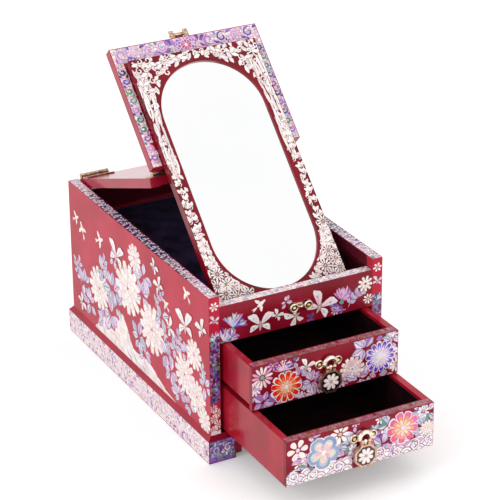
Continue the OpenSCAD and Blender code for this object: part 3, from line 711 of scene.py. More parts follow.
def bird(panel, at, size, turn, colours=IVORY):
    panel.chip(placed(leaf, at, turn, size, size * 0.42), tone(colours), 1, 12)
    head = polar(at, size * 0.92, turn)
    panel.chip(placed(disc, head, turn, size * 0.15, size * 0.13), tone(colours), 2)
    middle = polar(at, size * 0.5, turn)
    for angle in (1.9, -2.1):
        feathers = placed(leaf, middle, turn + angle, size * 0.85, size * 0.36)
        panel.chip(feathers, tone(colours), 3)
    for angle in (2.9, 3.3):
        tail = bow(at, turn + angle, size * 0.6, 0.05)
        panel.chip(stroke(tail, size * 0.14), tone(colours), 1)


# %% [markdown]
# ## Mosaics, scrolls and waves
# Bands and plinths are covered with crushed shell: small four-sided chips with
# hair lines of lacquer between them. The corners of a plain grid are moved at
# random and shared by neighbours, so that the chips fit like broken tiles.
# Sawn scrolls and rows of round waves are laid over such grounds.


# %% Mosaics, scrolls and waves
def mosaic(panel, x0, y0, x1, y1, cell, tint_at, roof=None, grout=0.14):
    columns, rows = max(1, round((x1 - x0) / cell)), max(1, round((y1 - y0) / cell))
    wide, high = (x1 - x0) / columns, (y1 - y0) / rows
    shake = {
        (i, j): (dice.uniform(-0.3, 0.3) * wide, dice.uniform(-0.3, 0.3) * high)
        for i in range(columns + 1)
        for j in range(rows + 1)
    }

    def knot(i, j):
        dx, dy = shake[i, j]
        return (
            x0 + i * wide + (dx if 0 < i < columns else 0),
            y0 + j * high + (dy if 0 < j < rows else 0),
        )

    for i in range(columns):
        for j in range(rows):
            middle = (x0 + (i + 0.5) * wide, y0 + (j + 0.5) * high)
            colours = tint_at(*middle)
            if colours is None or (roof and y0 + j * high > roof(middle[0])):
                continue

            def press(x, y):
                px, py = knot(i + (x - y > 0), j + (x + y > 0))
                py = min(py, roof(px)) if roof else py
                dx, dy = px - middle[0], py - middle[1]
                short = 1 - 2 * grout / min(wide, high)
                return middle[0] + dx * short, middle[1] + dy * short

            panel.chip(press, tone(colours, 0.1), 0, 4)


def paved(panel, margin, cell, tint_at):
    mosaic(panel, margin, margin, panel.wide - margin, panel.high - margin, cell, tint_at)


def curl(panel, at, size, turn, hand, colours, width=1.1, layer=2, turns=1.1, seam=None):
    path = spiral(at, size, turn, turns, hand)
    if seam:
        panel.chip(stroke(path, width + 0.8), tone(seam), layer - 0.5, 20)
    panel.chip(stroke(path, width), tone(colours), layer, 20)


def scroll_band(panel, x0, x1, y, size, colours, upright=False, step=None, width=1.1, seam=None):
    step = step or size * 3.2
    count = max(1, round((x1 - x0) / step))
    for k in range(count):
        hand = 1 if k % 2 else -1
        x = x0 + (k + 0.5) * (x1 - x0) / count
        spot = (y, x) if upright else (x, y)
        lean = math.pi / 2 if upright else 0
        curl(panel, spot, size, lean + hand * 0.8, hand, colours, width, 2, 1.1, seam)
        for angle in (0.5, 2.6, -2.2):
            root = polar(spot, size * 1.05, lean + hand * angle)
            sprig = bow(root, lean + hand * angle * 0.6, size * 0.9, 0.2 * hand)
            if seam:
                panel.chip(stroke(sprig, width * 1.3 + 0.8), tone(seam), 1.5, 8)
            panel.chip(stroke(sprig, width * 1.3), tone(colours), 2, 8)


def waves(panel, x0, y0, x1, y1, size, colours=IVORY, line=LILAC):
    rows = max(1, round((y1 - y0) / (size * 0.6)))
    for row in range(rows, -1, -1):
        y = y0 + row * size * 0.6
        x = x0 + (row % 2) * size
        while x <= x1:
            layer = 2 * (rows - row)
            for part, tints in ((1.0, line), (0.88, colours), (0.6, line), (0.5, colours)):
                spot = placed(disc, (x, y), 0, size * part, size * part)
                panel.chip(spot, tone(tints), layer, 12)
                layer += 0.5
            x += 2 * size


# %% [markdown]
# ## The two long sides
# Each long side is a garden: big ivory peonies on a rocky bank, lilac leaves
# between them, small birds and butterflies above. The layout is a list of
# places in millimetres from the lower rear corner of the board. The right side
# has the same plants in mirror order, from its own random tints.

# %% Gardens on the sides
PEONIES = [(63, 47, 23), (127, 74, 28), (176, 54, 26), (240, 39, 20), (263, 27, 18)]
BUDS = [(143, 111, 14), (259, 67, 15), (277, 11, 12)]
TUFTS = [
    (29, 37, 15, 6), (40, 22, 14, 6), (72, 68, 14, 5), (92, 58, 16, 7), (88, 30, 18, 8),
    (70, 18, 14, 6), (99, 92, 12, 4), (160, 99, 15, 6), (158, 80, 14, 6), (196, 76, 13, 5),
    (148, 34, 15, 7), (158, 22, 12, 6), (205, 42, 15, 6), (212, 28, 14, 6), (222, 56, 13, 5),
    (228, 14, 12, 6), (248, 12, 12, 6), (279, 46, 12, 5), (243, 60, 11, 5), (104, 46, 12, 5),
]
SPRAYS = [
    (24, 38, 2.3, 20, 3, 8), (22, 34, 1.7, 22, 3, 8), (150, 92, 1.9, 24, 3, 8),
    (184, 80, 0.9, 22, 3, 7), (196, 62, -0.9, 20, 3, 7), (226, 50, 1.35, 24, 3, 9),
    (276, 40, 1.6, 20, 3, 7), (84, 62, 1.9, 20, 3, 8), (262, 14, 0.2, 16, 3, 7),
]
BUTTERFLIES = [
    (104, 96, 18, 1.45), (243, 86, 19, 1.75), (211, 72, 12, 0.4),
    (193, 103, 11, 2.2), (20, 14, 11, 0.6), (275, 97, 12, 2.2),
    (183, 118, 9, 0.9),
]
BIRDS = [
    (12, 99, 9, 0.5), (30, 90, 11, 2.0), (64, 97, 11, 0.4), (208, 90, 8, 2.5),
    (249, 117, 10, 2.4),
]


def bank(x):
    if x < 49 or x > 224:
        return 0.0
    hump = 38 * math.exp(-(((x - 112) / 17) ** 2)) + 20 * math.exp(-(((x - 74) / 16) ** 2))
    return hump + 16 * math.exp(-(((x - 160) / 34) ** 2)) + 1.5


def garden(panel, flip=False):
    def across(x):
        return panel.wide - x if flip else x

    def around(turn):
        return math.pi - turn if flip else turn

    def top(x):
        return bank(across(x))

    mosaic(panel, 40, 0.5, panel.wide - 40, 50, 5.5, lambda x, y: IVORY, top, grout=0.05)
    for k in range(60):
        x = dice.uniform(52, 220)
        y = dice.uniform(0.1, 0.8) * bank(x)
        rib = bow((across(x), y), around(-0.7), dice.uniform(6, 16), dice.uniform(-0.25, 0.25))
        panel.chip(stroke(rib, 0.6), tone((TAN, LILAC, SHADE)[k % 3]), 2, 12)
    for x, y, turn, length, pairs, size in SPRAYS:
        spray(panel, (across(x), y), around(turn), length, pairs, size, LILAC + SEA)
    for x, y, size, count in TUFTS:
        tuft(panel, (across(x), y), size, count, LILAC + SEA if count % 2 else LILAC)
    for x, y, size in PEONIES:
        peony(panel, (across(x), y), size)
    for x, y, size in BUDS:
        ring_of(panel, (across(x), y), size, 11, IVORY, 6, TAN, notched, broad=1.0)
        ring_of(panel, (across(x), y), size * 0.6, 7, IVORY, 8, TAN, notched, broad=0.9)
        panel.chip(placed(disc, (across(x), y), 0, size * 0.16, size * 0.16), tone(BLUSH), 11)
    for x, y, size, turn in BUTTERFLIES:
        butterfly(panel, (across(x), y), size, around(turn), over=9)
    for x, y, size, turn in BIRDS:
        bird(panel, (across(x), y), size, around(turn))


left_garden = Panel("left_side_inlay", "left_side", (-1, 0, 0))
garden(left_garden)
left_garden.lay(pearl)
right_garden = Panel("right_side_inlay", "right_side", (1, 0, 0))
garden(right_garden, flip=True)
right_garden.lay(pearl)


# %% [markdown]
# ## Bands on the upper edges
# The top edges of the carcass carry a running scroll on crushed shell. The
# ground is dark blue abalone in the middle of the sides and turns to lilac
# towards both ends. The front rail and the back board have a light ground of
# mixed tints.

# %% Top bands
def side_ground(x, y):
    middle = 1 - abs(y - 144) / 144
    if dice.random() < 0.12:
        return GREEN
    return INDIGO if dice.random() < 1.9 * middle - 0.25 else LILAC + BLUSH


for name, node in (("left_top_inlay", "left_side"), ("right_top_inlay", "right_side")):
    band = Panel(name, node, (0, 0, 1), (0, 1, 0), edge=0.5)
    paved(band, 0.5, 3.0, side_ground)
    scroll_band(band, 4, band.high - 4, band.wide / 2, 3.1, IVORY, True, 9.5, 1.7, INDIGO)
    band.lay(pearl)

for name, node in (("rail_top_inlay", "front_rail"), ("back_top_inlay", "back_panel")):
    band = Panel(name, node, (0, 0, 1), (0, 1, 0), edge=0.5)
    paved(band, 0.5, 2.8, lambda x, y: dice.choice((IVORY, LILAC, BLUSH, IVORY, SEA)))
    scroll_band(band, 4, band.wide - 4, band.high / 2, 2.6, IVORY, step=13, width=0.9)
    band.lay(pearl)


# %% [markdown]
# ## The front rail and the pillars
# Over the drawers fly ivory butterflies between a blue thistle on the left and
# a rose one on the right. The ends of the side boards frame the front: a white
# flower above, tufts of abalone leaves on a dark ground down the middle, and
# white blossoms and waves at the foot.

# %% Rail and pillars
rail = Panel("front_rail_inlay", "front_rail", (0, -1, 0))
thistle(rail, (13, 13), 14, 1.15, LILAC + VIOLET + SEA, 2.6, 17)
thistle(rail, (4, 2), 13, 0.9, SEA + VIOLET + LILAC, 2.4, 15)
tuft(rail, (10, 4), 8, 5, LILAC + ORCHID, -0.3, 2.2)
butterfly(rail, (39, 8), 15, 1.5, IVORY, LILAC)
butterfly(rail, (55, 13), 7, 0.9, IVORY, LILAC)
bird(rail, (36, 26), 9, 0.6)
tuft(rail, (64, 24), 6, 5, BLUSH + LILAC)
butterfly(rail, (74, 9), 12, -2.6, IVORY, LILAC)
butterfly(rail, (97, 11), 17, 1.0, IVORY, BLUSH)
thistle(rail, (120, 13), 14, 1.2, BLUSH + ORCHID, 2.5, 15)
spray(rail, (126, 4), 0.75, 20, 4, 6.5, SEA + LILAC)
spray(rail, (124, 3), 2.7, 14, 3, 5.5, VIOLET + LILAC)
daisy(rail, (113, 4), 4.5, 7, LILAC, BLUSH)
ring_of(rail, (143, 23), 8, 9, IVORY, 2, LINE, notched)
ring_of(rail, (143, 23), 4.6, 6, IVORY, 5, TAN, notched)
daisy(rail, (146, 8), 5, 8, IVORY, BLUSH)
tuft(rail, (88, 3), 5, 4, VIOLET + INDIGO)
rail.lay(pearl)

for name, node in (("left_pillar_inlay", "left_side"), ("right_pillar_inlay", "right_side")):
    pillar = Panel(name, node, (0, -1, 0))
    daisy(pillar, (5, 124), 4.4, 6, IVORY, BLUSH)
    butterfly(pillar, (5, 110), 6.5, 1.3, BLUSH, IVORY)
    thistle(pillar, (5, 92), 9, 1.6, LILAC + SEA + INDIGO, 2.4, 11)
    mosaic(
        pillar, 0.6, 32, pillar.wide - 0.6, 96, 2.4,
        lambda x, y: dice.choice((NIGHT, NIGHT, NIGHT, INDIGO, VIOLET, GREEN)),
    )
    for k in range(13):
        tints = (INDIGO, VIOLET, GREEN, SEA + INDIGO, ORCHID)[k % 5]
        tuft(pillar, (3.0 + 3.6 * (k % 2), 33 + 4.9 * k), 4.6, 5, tints)
    for spot in ((3, 27), (7, 22), (3.5, 17), (7.5, 11), (3, 6)):
        daisy(pillar, spot, 4.4, 8, IVORY, LILAC)
    waves(pillar, 1, -2, 10, 2.5, 2.6)
    pillar.lay(pearl)


# %% [markdown]
# ## Drawer fronts
# These are the showpieces: each drawer front has two large coloured flowers,
# coral and violet above, blue and rose below, with an ivory outline around
# every petal. Daisies, peonies and leaves fill the corners, and white waves
# roll along the foot of the lower drawer. Each coloured petal is three chips,
# one on the other, so that the tint lightens towards the heart.


# %% Drawer fronts
def showpiece(
    panel, at, size, count, outer, inner, heart,
    turn=0.1, cores=(0.74, 0.5), broads=(1.1, 1.0), shape=club, pitch=1.62,
):
    more = {"turn": turn, "foot": 0.06, "shape": shape}
    slim = pitch * (1 - 1.0 / (math.tau * size * 0.6 / count))
    panel.chip(placed(disc, at, 0, size * 0.62, size * 0.62), tone(IVORY), 7, 18)
    ring_of(panel, at, size, count, IVORY, 8, None, broad=pitch, **more)
    ring_of(panel, at, size - 0.6, count, outer, 11, None, broad=slim, **more)
    for core, tints, level, broad in zip(cores, (inner, heart), (13, 15), broads):
        ring_of(panel, at, size * core, count, tints, level, None, broad=broad, **more)
    panel.chip(placed(disc, at, 0, size * 0.12, size * 0.12), tone(IVORY), 18, 12, TAN)


upper = Panel("upper_front_inlay", "upper_front", (0, -1, 0))
for x, y, size, count in (
    (11, 6, 10, 7), (3, 14, 8, 5), (22, 3, 9, 6), (46, 22, 9, 6), (50, 5, 10, 7),
    (57, 13, 11, 7), (40, 36, 7, 5), (104, 4, 11, 7), (109, 31, 12, 7), (114, 6, 9, 6),
    (137, 33, 10, 7), (140, 20, 8, 6), (133, 3, 9, 6), (86, 6, 8, 6), (128, 36, 8, 5),
):
    tints = dice.choice(
        (LILAC + BLUSH, ORCHID + LILAC, SEA + LILAC, LILAC + VIOLET[1:2], INDIGO + LILAC)
    )
    tuft(upper, (x, y), size, count, tints)
daisy(upper, (10, 29), 10.5, 13, BLUSH + IVORY, GREEN, broad=0.9)
daisy(upper, (3, 20), 7, 11, IVORY + BLUSH, BLUSH)
thistle(upper, (31, 31), 9.5, 1.5, BLUSH + LILAC, 3.2, 13)
butterfly(upper, (52, 28), 9, 1.1, IVORY, SEA)
for spot in ((48, 3), (56, 3), (63, 6), (66, 2)):
    daisy(upper, spot, 3.6, 5, BLUSH + IVORY, IVORY)
peony(upper, (97, 15), 12.5, IVORY + BLUSH[:1], TAN)
for spot in ((20, 38), (30, 43), (63, 16), (76, 12), (108, 43), (144, 22), (143, 44), (88, 5)):
    daisy(upper, spot, dice.uniform(4.4, 5.8), 7, dice.choice((BLUSH, IVORY, ORCHID)), TAN)
daisy(upper, (141, 8), 7, 10, IVORY, LILAC)
daisy(upper, (137, 37), 6.5, 9, BLUSH + LILAC, IVORY)
CORAL, FLAME, CREAM = ("#EE2A1C", "#E6241A"), ("#F4742C", "#F68638"), ("#F8C890", "#FAE0C4")
PURPLE, MAUVE, PALE = ("#6234C4", "#6E42CC"), ("#D8B4EA", "#E4C8EE"), ("#F8E6F4", "#FAF0F8")
showpiece(upper, (32.7, 15), 15.2, 12, CORAL, FLAME, CREAM, 0.1, (0.66, 0.42), (0.95, 1.0))
showpiece(upper, (124.7, 20), 15, 14, PURPLE, MAUVE, PALE, 0.1, (0.74, 0.62), (0.8, 1.1))
ring_of(upper, (124.7, 20), 6.4, 11, PALE + IVORY, 17, LILAC, petal, foot=0.1, broad=1.0)
upper.lay(pearl)

lower = Panel("lower_front_inlay", "lower_front", (0, -1, 0))
for x, y, size, count in (
    (20, 14, 9, 6), (48, 24, 10, 7), (56, 14, 10, 6), (60, 24, 9, 6), (27, 38, 7, 5),
    (92, 16, 10, 7), (98, 32, 10, 7), (124, 12, 10, 7), (132, 22, 11, 7), (136, 34, 10, 7),
    (104, 12, 9, 6), (126, 38, 8, 5), (84, 30, 8, 6), (66, 33, 8, 5), (14, 24, 8, 5),
):
    tints = dice.choice((LILAC + BLUSH, LILAC + SEA, SEA + GREEN[:1], LILAC + ORCHID, SEA + LILAC))
    tuft(lower, (x, y), size, count, tints)
waves(lower, 0, -4, 62, 7, 6.4, IVORY, SHADE)
waves(lower, 84, -4, 143, 7, 6.4, IVORY, SHADE)
for x, y, size, hand in (
    (8, 8, 7, 1), (24, 5, 6, -1), (49, 6, 6.5, 1), (89, 7, 6.5, -1), (106, 5, 7, 1),
    (124, 6, 6.5, -1), (138, 8, 6, 1),
):
    curl(lower, (x, y), size, dice.uniform(0, 6), hand, IVORY, 1.9, 12, 1.25, SHADE)
daisy(lower, (11, 32), 10, 6, IVORY, BLUSH, broad=0.95)
daisy(lower, (51, 36), 9.5, 8, IVORY, TAN, broad=0.95)
daisy(lower, (33, 6), 5.5, 8, BLUSH + LILAC, IVORY)
daisy(lower, (92, 27), 7, 8, VIOLET + LILAC, IVORY)
for spot in (
    (24, 42), (64, 18), (66, 43), (84, 20), (90, 40), (126, 30), (143, 42), (144, 26), (13, 18),
):
    daisy(lower, spot, dice.uniform(4.2, 5.6), 7, dice.choice((BLUSH, IVORY, LILAC)), TAN)
peony(lower, (137, 18), 8.5, IVORY)
daisy(lower, (132, 36), 6.5, 9, IVORY, BLUSH)
STEEL, MIST, SHRIMP = ("#88A0C0", "#92A8C6"), ("#C8CCD2", "#D4D4D4"), ("#F4E0CC", "#F6E6D8")
PINK, PEACH, BUTTER = ("#E8588E", "#EA6A9C"), ("#F29A62", "#F4AC70"), ("#F9DCA8", "#FAE8C4")
showpiece(
    lower, (35.2, 23.4), 16.5, 5, STEEL, MIST, SHRIMP, 0.3, (0.78, 0.64), (0.95, 0.9),
    round_petal, 1.36,
)
ring_of(lower, (35.2, 23.4), 7.6, 10, SHRIMP + BLUSH[:1], 17, TAN, petal, foot=0.1, broad=0.9)
showpiece(lower, (112, 25.8), 15.8, 9, PINK, PEACH, BUTTER, 0.1, (0.72, 0.5), (1.0, 1.0))
lower.lay(pearl)

for name, node in (("upper_edge_inlay", "upper_front"), ("lower_edge_inlay", "lower_front")):
    edge = Panel(name, node, (0, 0, 1), (0, 1, 0), edge=0.6)
    mosaic(
        edge, 1.5, 0.8, edge.wide - 1.5, edge.high - 0.8, 3.4,
        lambda x, y: DUSK if dice.random() < 0.88 else None,
    )
    scroll_band(edge, 6, edge.wide - 6, edge.high / 2, 2.5, OCHRE, step=12, width=0.55)
    edge.lay(pearl)


# %% [markdown]
# ## The plinth
# The plinth is covered with small chips of ivory, rose and lilac shell under
# sawn scrolls. At the front its two feet have violet and green scrolls inside
# a violet border, and the arch between them stays open.


# %% Plinth
def plinth_ground(x, y):
    return dice.choice((IVORY, LILAC, BLUSH[2:3], LILAC, IVORY, IVORY, IVORY, SHADE[2:]))


for name, node, towards in (
    ("plinth_left_inlay", "plinth_left", (-1, 0, 0)),
    ("plinth_right_inlay", "plinth_right", (1, 0, 0)),
    ("plinth_back_inlay", "plinth_back", (0, 1, 0)),
):
    skirt = Panel(name, node, towards, edge=0.5)
    paved(skirt, 0.5, 2.9, plinth_ground)
    scroll_band(skirt, 6, skirt.wide - 6, skirt.high * 0.66, 4.6, IVORY, False, 13, 1.5, LILAC)
    scroll_band(skirt, 12, skirt.wide - 12, skirt.high * 0.28, 3.8, IVORY, False, 13, 1.2, LILAC)
    skirt.lay(pearl)

arch_top, foot_len, plinth_wide = 15.4, 26, 177.2
feet = Panel(
    "plinth_front_inlay", "plinth_front", (0, -1, 0), edge=0.5,
    inside=lambda x, y: y > arch_top + 0.5 or min(x, plinth_wide - x) < foot_len,
)
paved(
    feet, 0.5, 2.4,
    lambda x, y: VIOLET if y > feet.high - 3 or y < 3 else VIOLET + GREEN + INDIGO + ORCHID,
)
for foot_x in (2, feet.wide - 24):
    scroll_band(feet, foot_x, foot_x + 22, 12.5, 4.4, SEA + IVORY, False, 11, 1.5, INDIGO)
    scroll_band(feet, foot_x, foot_x + 22, 5.5, 2.4, VIOLET + GREEN, step=7, width=1.1)
scroll_band(feet, 27, feet.wide - 27, 18.8, 1.8, IVORY, step=8, width=0.8)
feet.lay(pearl)


# %% [markdown]
# ## The mirror's frame
# The frame around the glass is worked almost without a gap: long plumes down
# the upper sides, scrolls in the corners, leafy stems below them and daisies
# at the foot. A margin of lacquer is left along the glass. Whether a chip may
# lie at a place is asked of a function that knows the window, a slot with
# round ends.

# %% Mirror frame
frame_face = Panel("mirror_frame_inlay", "mirror_frame", (0, -0.7, 0.7))
half_window, window_foot, window_top, frame_len = 50.25, 2.8, 12.3, 238
window_ends = (window_foot + half_window, frame_len - window_top - half_window)


def past_glass(x, y):
    middle = min(max(y, window_ends[0]), window_ends[1])
    return math.hypot(x - frame_face.wide / 2, y - middle) - half_window


frame_face.inside = lambda x, y: past_glass(x, y) > 2.0
print("frame face: %.1f x %.1f mm" % (frame_face.wide, frame_face.high))


def sprinkle(panel, count, box, gap, draw):
    taken = []
    for _ in range(count * 12):
        spot = (dice.uniform(box[0], box[2]), dice.uniform(box[1], box[3]))
        close = any(math.dist(spot, other) < gap for other in taken)
        if not close and panel.inside(*spot):
            taken.append(spot)
            draw(spot)
        if len(taken) >= count:
            break


steps = iter(range(10**6))


def height():
    return 1 + 0.55 * (next(steps) % 16)


def plume(spot):
    outward = 1 if spot[0] > frame_face.wide / 2 else -1
    for k in range(3):
        lean = -math.pi / 2 + outward * dice.uniform(-0.1, 0.16)
        feather = bow(spot, lean, dice.uniform(13, 22), dice.uniform(-0.09, 0.09))
        barb = stroke(feather, dice.uniform(1.5, 2.2))
        frame_face.chip(barb, tone(IVORY), height(), 12, LINE, 0.4)


def corner_work(spot):
    hand = dice.choice((1, -1))
    turn = dice.uniform(0, math.tau)
    level = height()
    for angle in (0.0, 1.6, 3.6):
        root = polar(spot, 2.6, turn + angle)
        lobe = placed(leaf, root, turn + angle + 0.5 * hand, dice.uniform(6, 9), 3.8)
        frame_face.chip(lobe, tone(IVORY), level, 8, LINE, 0.4)
    size = dice.uniform(3.0, 4.2)
    curl(frame_face, spot, size, turn, hand, IVORY, 1.5, level + 0.5, seam=LINE)


def sprig(spot):
    along = math.pi / 2 + dice.uniform(-0.7, 0.7)
    level = height()
    for k, lean in enumerate((-0.9, 0.0, 0.9)):
        lobe = placed(leaf, spot, along + lean, dice.uniform(5.0, 7.0), 3.3)
        frame_face.chip(lobe, tone(IVORY if k else IVORY + BLUSH[:1]), level, 8, LINE, 0.35)
    curl(frame_face, spot, 2.2, along + 2.4, 1, IVORY, 1.0, level + 0.5, seam=LINE)


def small_daisy(spot):
    size, level = dice.uniform(5.2, 6.8), 11
    frame_face.chip(placed(disc, spot, 0, size, size), tone(LINE), level - 0.5, 12)
    ring_of(frame_face, spot, size, 11, IVORY, level, None, petal, foot=0.24, broad=0.86)
    frame_face.chip(placed(disc, spot, 0, 1.1, 1.1), tone(TAN), level + 2)


wide, high = frame_face.wide, frame_face.high
sprinkle(frame_face, 18, (3, 14, 32, 54), 8.6, small_daisy)
sprinkle(frame_face, 18, (wide - 32, 3, wide - 3, 54), 8.6, small_daisy)
sprinkle(frame_face, 6, (3, 3, 32, 14), 8.6, small_daisy)
for x0, x1 in ((1.5, 12.5), (wide - 12.5, wide - 1.5)):
    sprinkle(frame_face, 60, (x0, 2, x1, 160), 5.8, sprig)
    sprinkle(frame_face, 36, (x0, 136, x1, high - 12), 5.2, plume)
sprinkle(frame_face, 30, (1.5, 2, 36, 52), 5.6, sprig)
sprinkle(frame_face, 30, (wide - 36, 2, wide - 1.5, 52), 5.6, sprig)
sprinkle(frame_face, 34, (1.5, high - 50, 40, high - 1.5), 6.4, corner_work)
sprinkle(frame_face, 34, (wide - 40, high - 50, wide - 1.5, high - 1.5), 6.4, corner_work)
sprinkle(frame_face, 24, (30, high - 13, wide - 30, high - 1.5), 5.8, corner_work)
frame_face.lay(pearl)


# %% [markdown]
# ## The lid
# The inner rim of the front leaf shows around the mirror. Its ground is white
# shell, with scrolls in violet, rose and green and a large flower in the
# middle of the top. The outer face of the front leaf can't be seen in the
# photograph; flowers like those of the sides are laid there. The rear leaf has
# no inlay.

# %% Lid rim and outer face
rim = Panel("lid_rim_inlay", "front_leaf_board", (0, -0.7, 0.7), edge=0.6)
strip, side_strip = 17.0, 9.9
rim.inside = lambda x, y: y > rim.high - strip or min(x, rim.wide - x) < side_strip
paved(
    rim, 0.6, 2.9,
    lambda x, y: dice.choice((IVORY, IVORY, IVORY, LILAC, LILAC[2:3], BLUSH[2:3], BLUSH, SEA)),
)
bright = VIOLET + ORCHID + GREEN[:1]
top_y = rim.high - strip / 2
for x0, x1 in ((3, rim.wide / 2 - 16), (rim.wide / 2 + 16, rim.wide - 3)):
    scroll_band(rim, x0, x1, top_y + 1.6, 5.8, bright, False, 12.5, 2.3, IVORY)
    scroll_band(rim, x0 + 6, x1 - 6, top_y - 5.0, 3.0, ORCHID + VIOLET, False, 12.5, 1.8, IVORY)
for x in (side_strip / 2, rim.wide - side_strip / 2):
    scroll_band(
        rim, 5, rim.high - strip - 2, x, 3.7, INDIGO + GREEN + VIOLET + ORCHID, True, 9.5, 2.3,
        IVORY,
    )
middle = (rim.wide / 2, top_y)
for shift in (-13, 13):
    tuft(rim, (middle[0] + shift, middle[1]), 10, 9, VIOLET + ORCHID + GREEN[:1])
for reach, count, tints, level in (
    (10.5, 15, VIOLET + ORCHID[:2], 5), (8.2, 12, ORCHID + BLUSH[3:], 8),
    (5.6, 9, ("#D8508C", "#C8488E", "#E07AA8"), 11),
):
    ring_of(rim, middle, reach, count, tints, level, IVORY, club, foot=0.1, broad=1.35)
rim.chip(placed(disc, middle, 0, 1.8, 1.8), tone(IVORY), 14)
rim.lay(pearl)

cover = Panel("lid_cover_inlay", "front_leaf_board", (0, 0.7, -0.7), (0, 0, 1))
paved(
    cover, 0.8, 2.9,
    lambda x, y: dice.choice((IVORY, LILAC, BLUSH))
    if min(x, cover.wide - x, y, cover.high - y) < 6.5
    else None,
)
half = (cover.wide / 2, cover.high / 2)
for k in range(9):
    angle = math.tau * k / 9
    spot = (half[0] + 24 * math.cos(angle), half[1] + 17 * math.sin(angle))
    tuft(cover, spot, 14, 6, LILAC + SEA)
for side in (1, -1):
    spray(cover, (half[0] + side * 26, half[1]), 0 if side > 0 else math.pi, 26, 4, 8, LILAC + SEA)
    peony(cover, (half[0] + side * 25, half[1] - side * 5), 14)
    butterfly(cover, (half[0] + side * 44, half[1] + 26), 11, math.pi / 2 + side * 0.5)
    bird(cover, (half[0] - side * 46, half[1] - 30), 9, math.pi / 2 + side)
peony(cover, half, 20)
cover.lay(pearl)


# %% [markdown]
# ## The back
# The back board is as plain as a back may be: one spray of flowers.

# %% Back board
rear = Panel("back_inlay", "back_panel", (0, 1, 0))
half = (rear.wide / 2, rear.high * 0.46)
for k in range(8):
    angle = math.tau * k / 8
    spot = (half[0] + 26 * math.cos(angle), half[1] + 15 * math.sin(angle))
    tuft(rear, spot, 15, 6, LILAC + SEA)
for side in (1, -1):
    heading = 0.5 if side > 0 else 2.64
    spray(rear, (half[0] + side * 24, half[1] + 4), heading, 30, 4, 9, LILAC + SEA)
    peony(rear, (half[0] + side * 27, half[1] - 7), 15)
    butterfly(rear, (half[0] + side * 46, half[1] + 38), 11, math.pi / 2 + side * 0.6)
peony(rear, (half[0], half[1] + 6), 21)
rear.lay(pearl)


# %% [markdown]
# ## Flowers in the enamel
# Each drawer pull ends in an eight-sided drop of black enamel, with a small
# flower of eight ivory petals let into it.

# %% Pendant flowers
for level in ("upper", "lower"):
    drop = Panel(level + "_pendant_flower", level + "_enamel", (0, -1, 0))
    at = (drop.wide / 2, drop.high / 2)
    reach = min(drop.wide, drop.high) * 0.43
    ring_of(drop, at, reach, 8, IVORY, 0, TAN, petal, broad=0.95, turn=0.0)
    drop.chip(placed(disc, at, 0, reach * 0.16, reach * 0.16), tone(TAN), 4, 12)
    drop.lay(pearl, thick=0.12)

# %% [markdown]
# ## Drawer pulls
# The imported model holds a pull as one solid: two washers with domed nails, a
# bow between them and the tongue that holds the pin. Here it is replaced by an
# arch and by turned rings, flat dark discs in the rings as painted shade of
# their hollows, and domes that catch the light. A turned part is a profile spun
# round its axis, the arch is a circle spun through half a turn. Known fault: the
# arch is narrower than the bow, cuts into the eyes of the pendant, and has no
# tongue. The neck stands for no piece of the box; it only hides the missing
# tongue.

# %% Turned and cast brass
RING = [
    (2.6, 0.2), (2.7, 1.1), (3.1, 1.6), (3.6, 1.6), (4.0, 1.2), (4.2, 0.5), (4.2, 0.0),
    (2.6, 0.0),
]
# A flat dark disc inside each ring: painted shade standing for the rosette's hollow.
HOLLOW_SHADE = [(0.0, 0.0), (3.2, 0.0), (3.2, 0.35), (0.0, 0.35)]
DOME = [(0.0, 0.2), (1.7, 0.2), (1.75, 0.9), (1.6, 1.5), (1.2, 2.0), (0.6, 2.35), (0.0, 2.45)]
ROSETTE = (
    ("_rings", RING, pale_brass), ("_hollow_shades", HOLLOW_SHADE, hollow_shade_brass), ("_domes", DOME, gold_brass),
)
MM = 0.001
# Each pull: its drawer, the y of the drawer's face and the z of its rosettes, in mm
PULLS = (("upper", -139.4, 98.5), ("lower", -197.9, 56.0))
PULL_X, ROSETTE_REACH, CATCH_REACH = 2.0, 9.0, 7.0
ARCH_OUT, ARCH_REACH, ARCH_THICK, LEG_THICK = 3.4, 5.5, 2.1, 1.7


def fitting(name, bm, material, body):
    bmesh.ops.remove_doubles(bm, verts=bm.verts, dist=1e-6)
    bmesh.ops.recalc_face_normals(bm, faces=bm.faces)
    mesh = bpy.data.meshes.new(name)
    bm.to_mesh(mesh)
    bm.free()
    for face in mesh.polygons:
        face.use_smooth = True
    mesh.materials.append(material)
    piece = bpy.data.objects.new(name, mesh)
    bpy.context.collection.objects.link(piece)
    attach(piece, body)
    return piece


def turned(bm, profile, at, steps=28):
    x, y, z = at
    knots = [bm.verts.new(((x + r) * MM, (y - h) * MM, z * MM)) for r, h in profile]
    line = [bm.edges.new(pair) for pair in zip(knots, knots[1:])]
    bmesh.ops.spin(
        bm, geom=knots + line, cent=(x * MM, y * MM, z * MM), axis=(0, 1, 0),
        angle=math.tau, steps=steps, use_merge=True,
    )


def rod(bm, start, end, radius, steps=16):
    start, end = Vector(start) * MM, Vector(end) * MM
    turn = (end - start).to_track_quat("Z", "Y").to_matrix().to_4x4()
    bmesh.ops.create_cone(
        bm, cap_ends=True, segments=steps, radius1=radius * MM, radius2=radius * MM,
        depth=(end - start).length, matrix=Matrix.Translation((start + end) / 2) @ turn,
    )


def ball(bm, at, radius):
    spot = Matrix.Translation(Vector(at) * MM)
    bmesh.ops.create_uvsphere(bm, u_segments=20, v_segments=12, radius=radius * MM, matrix=spot)


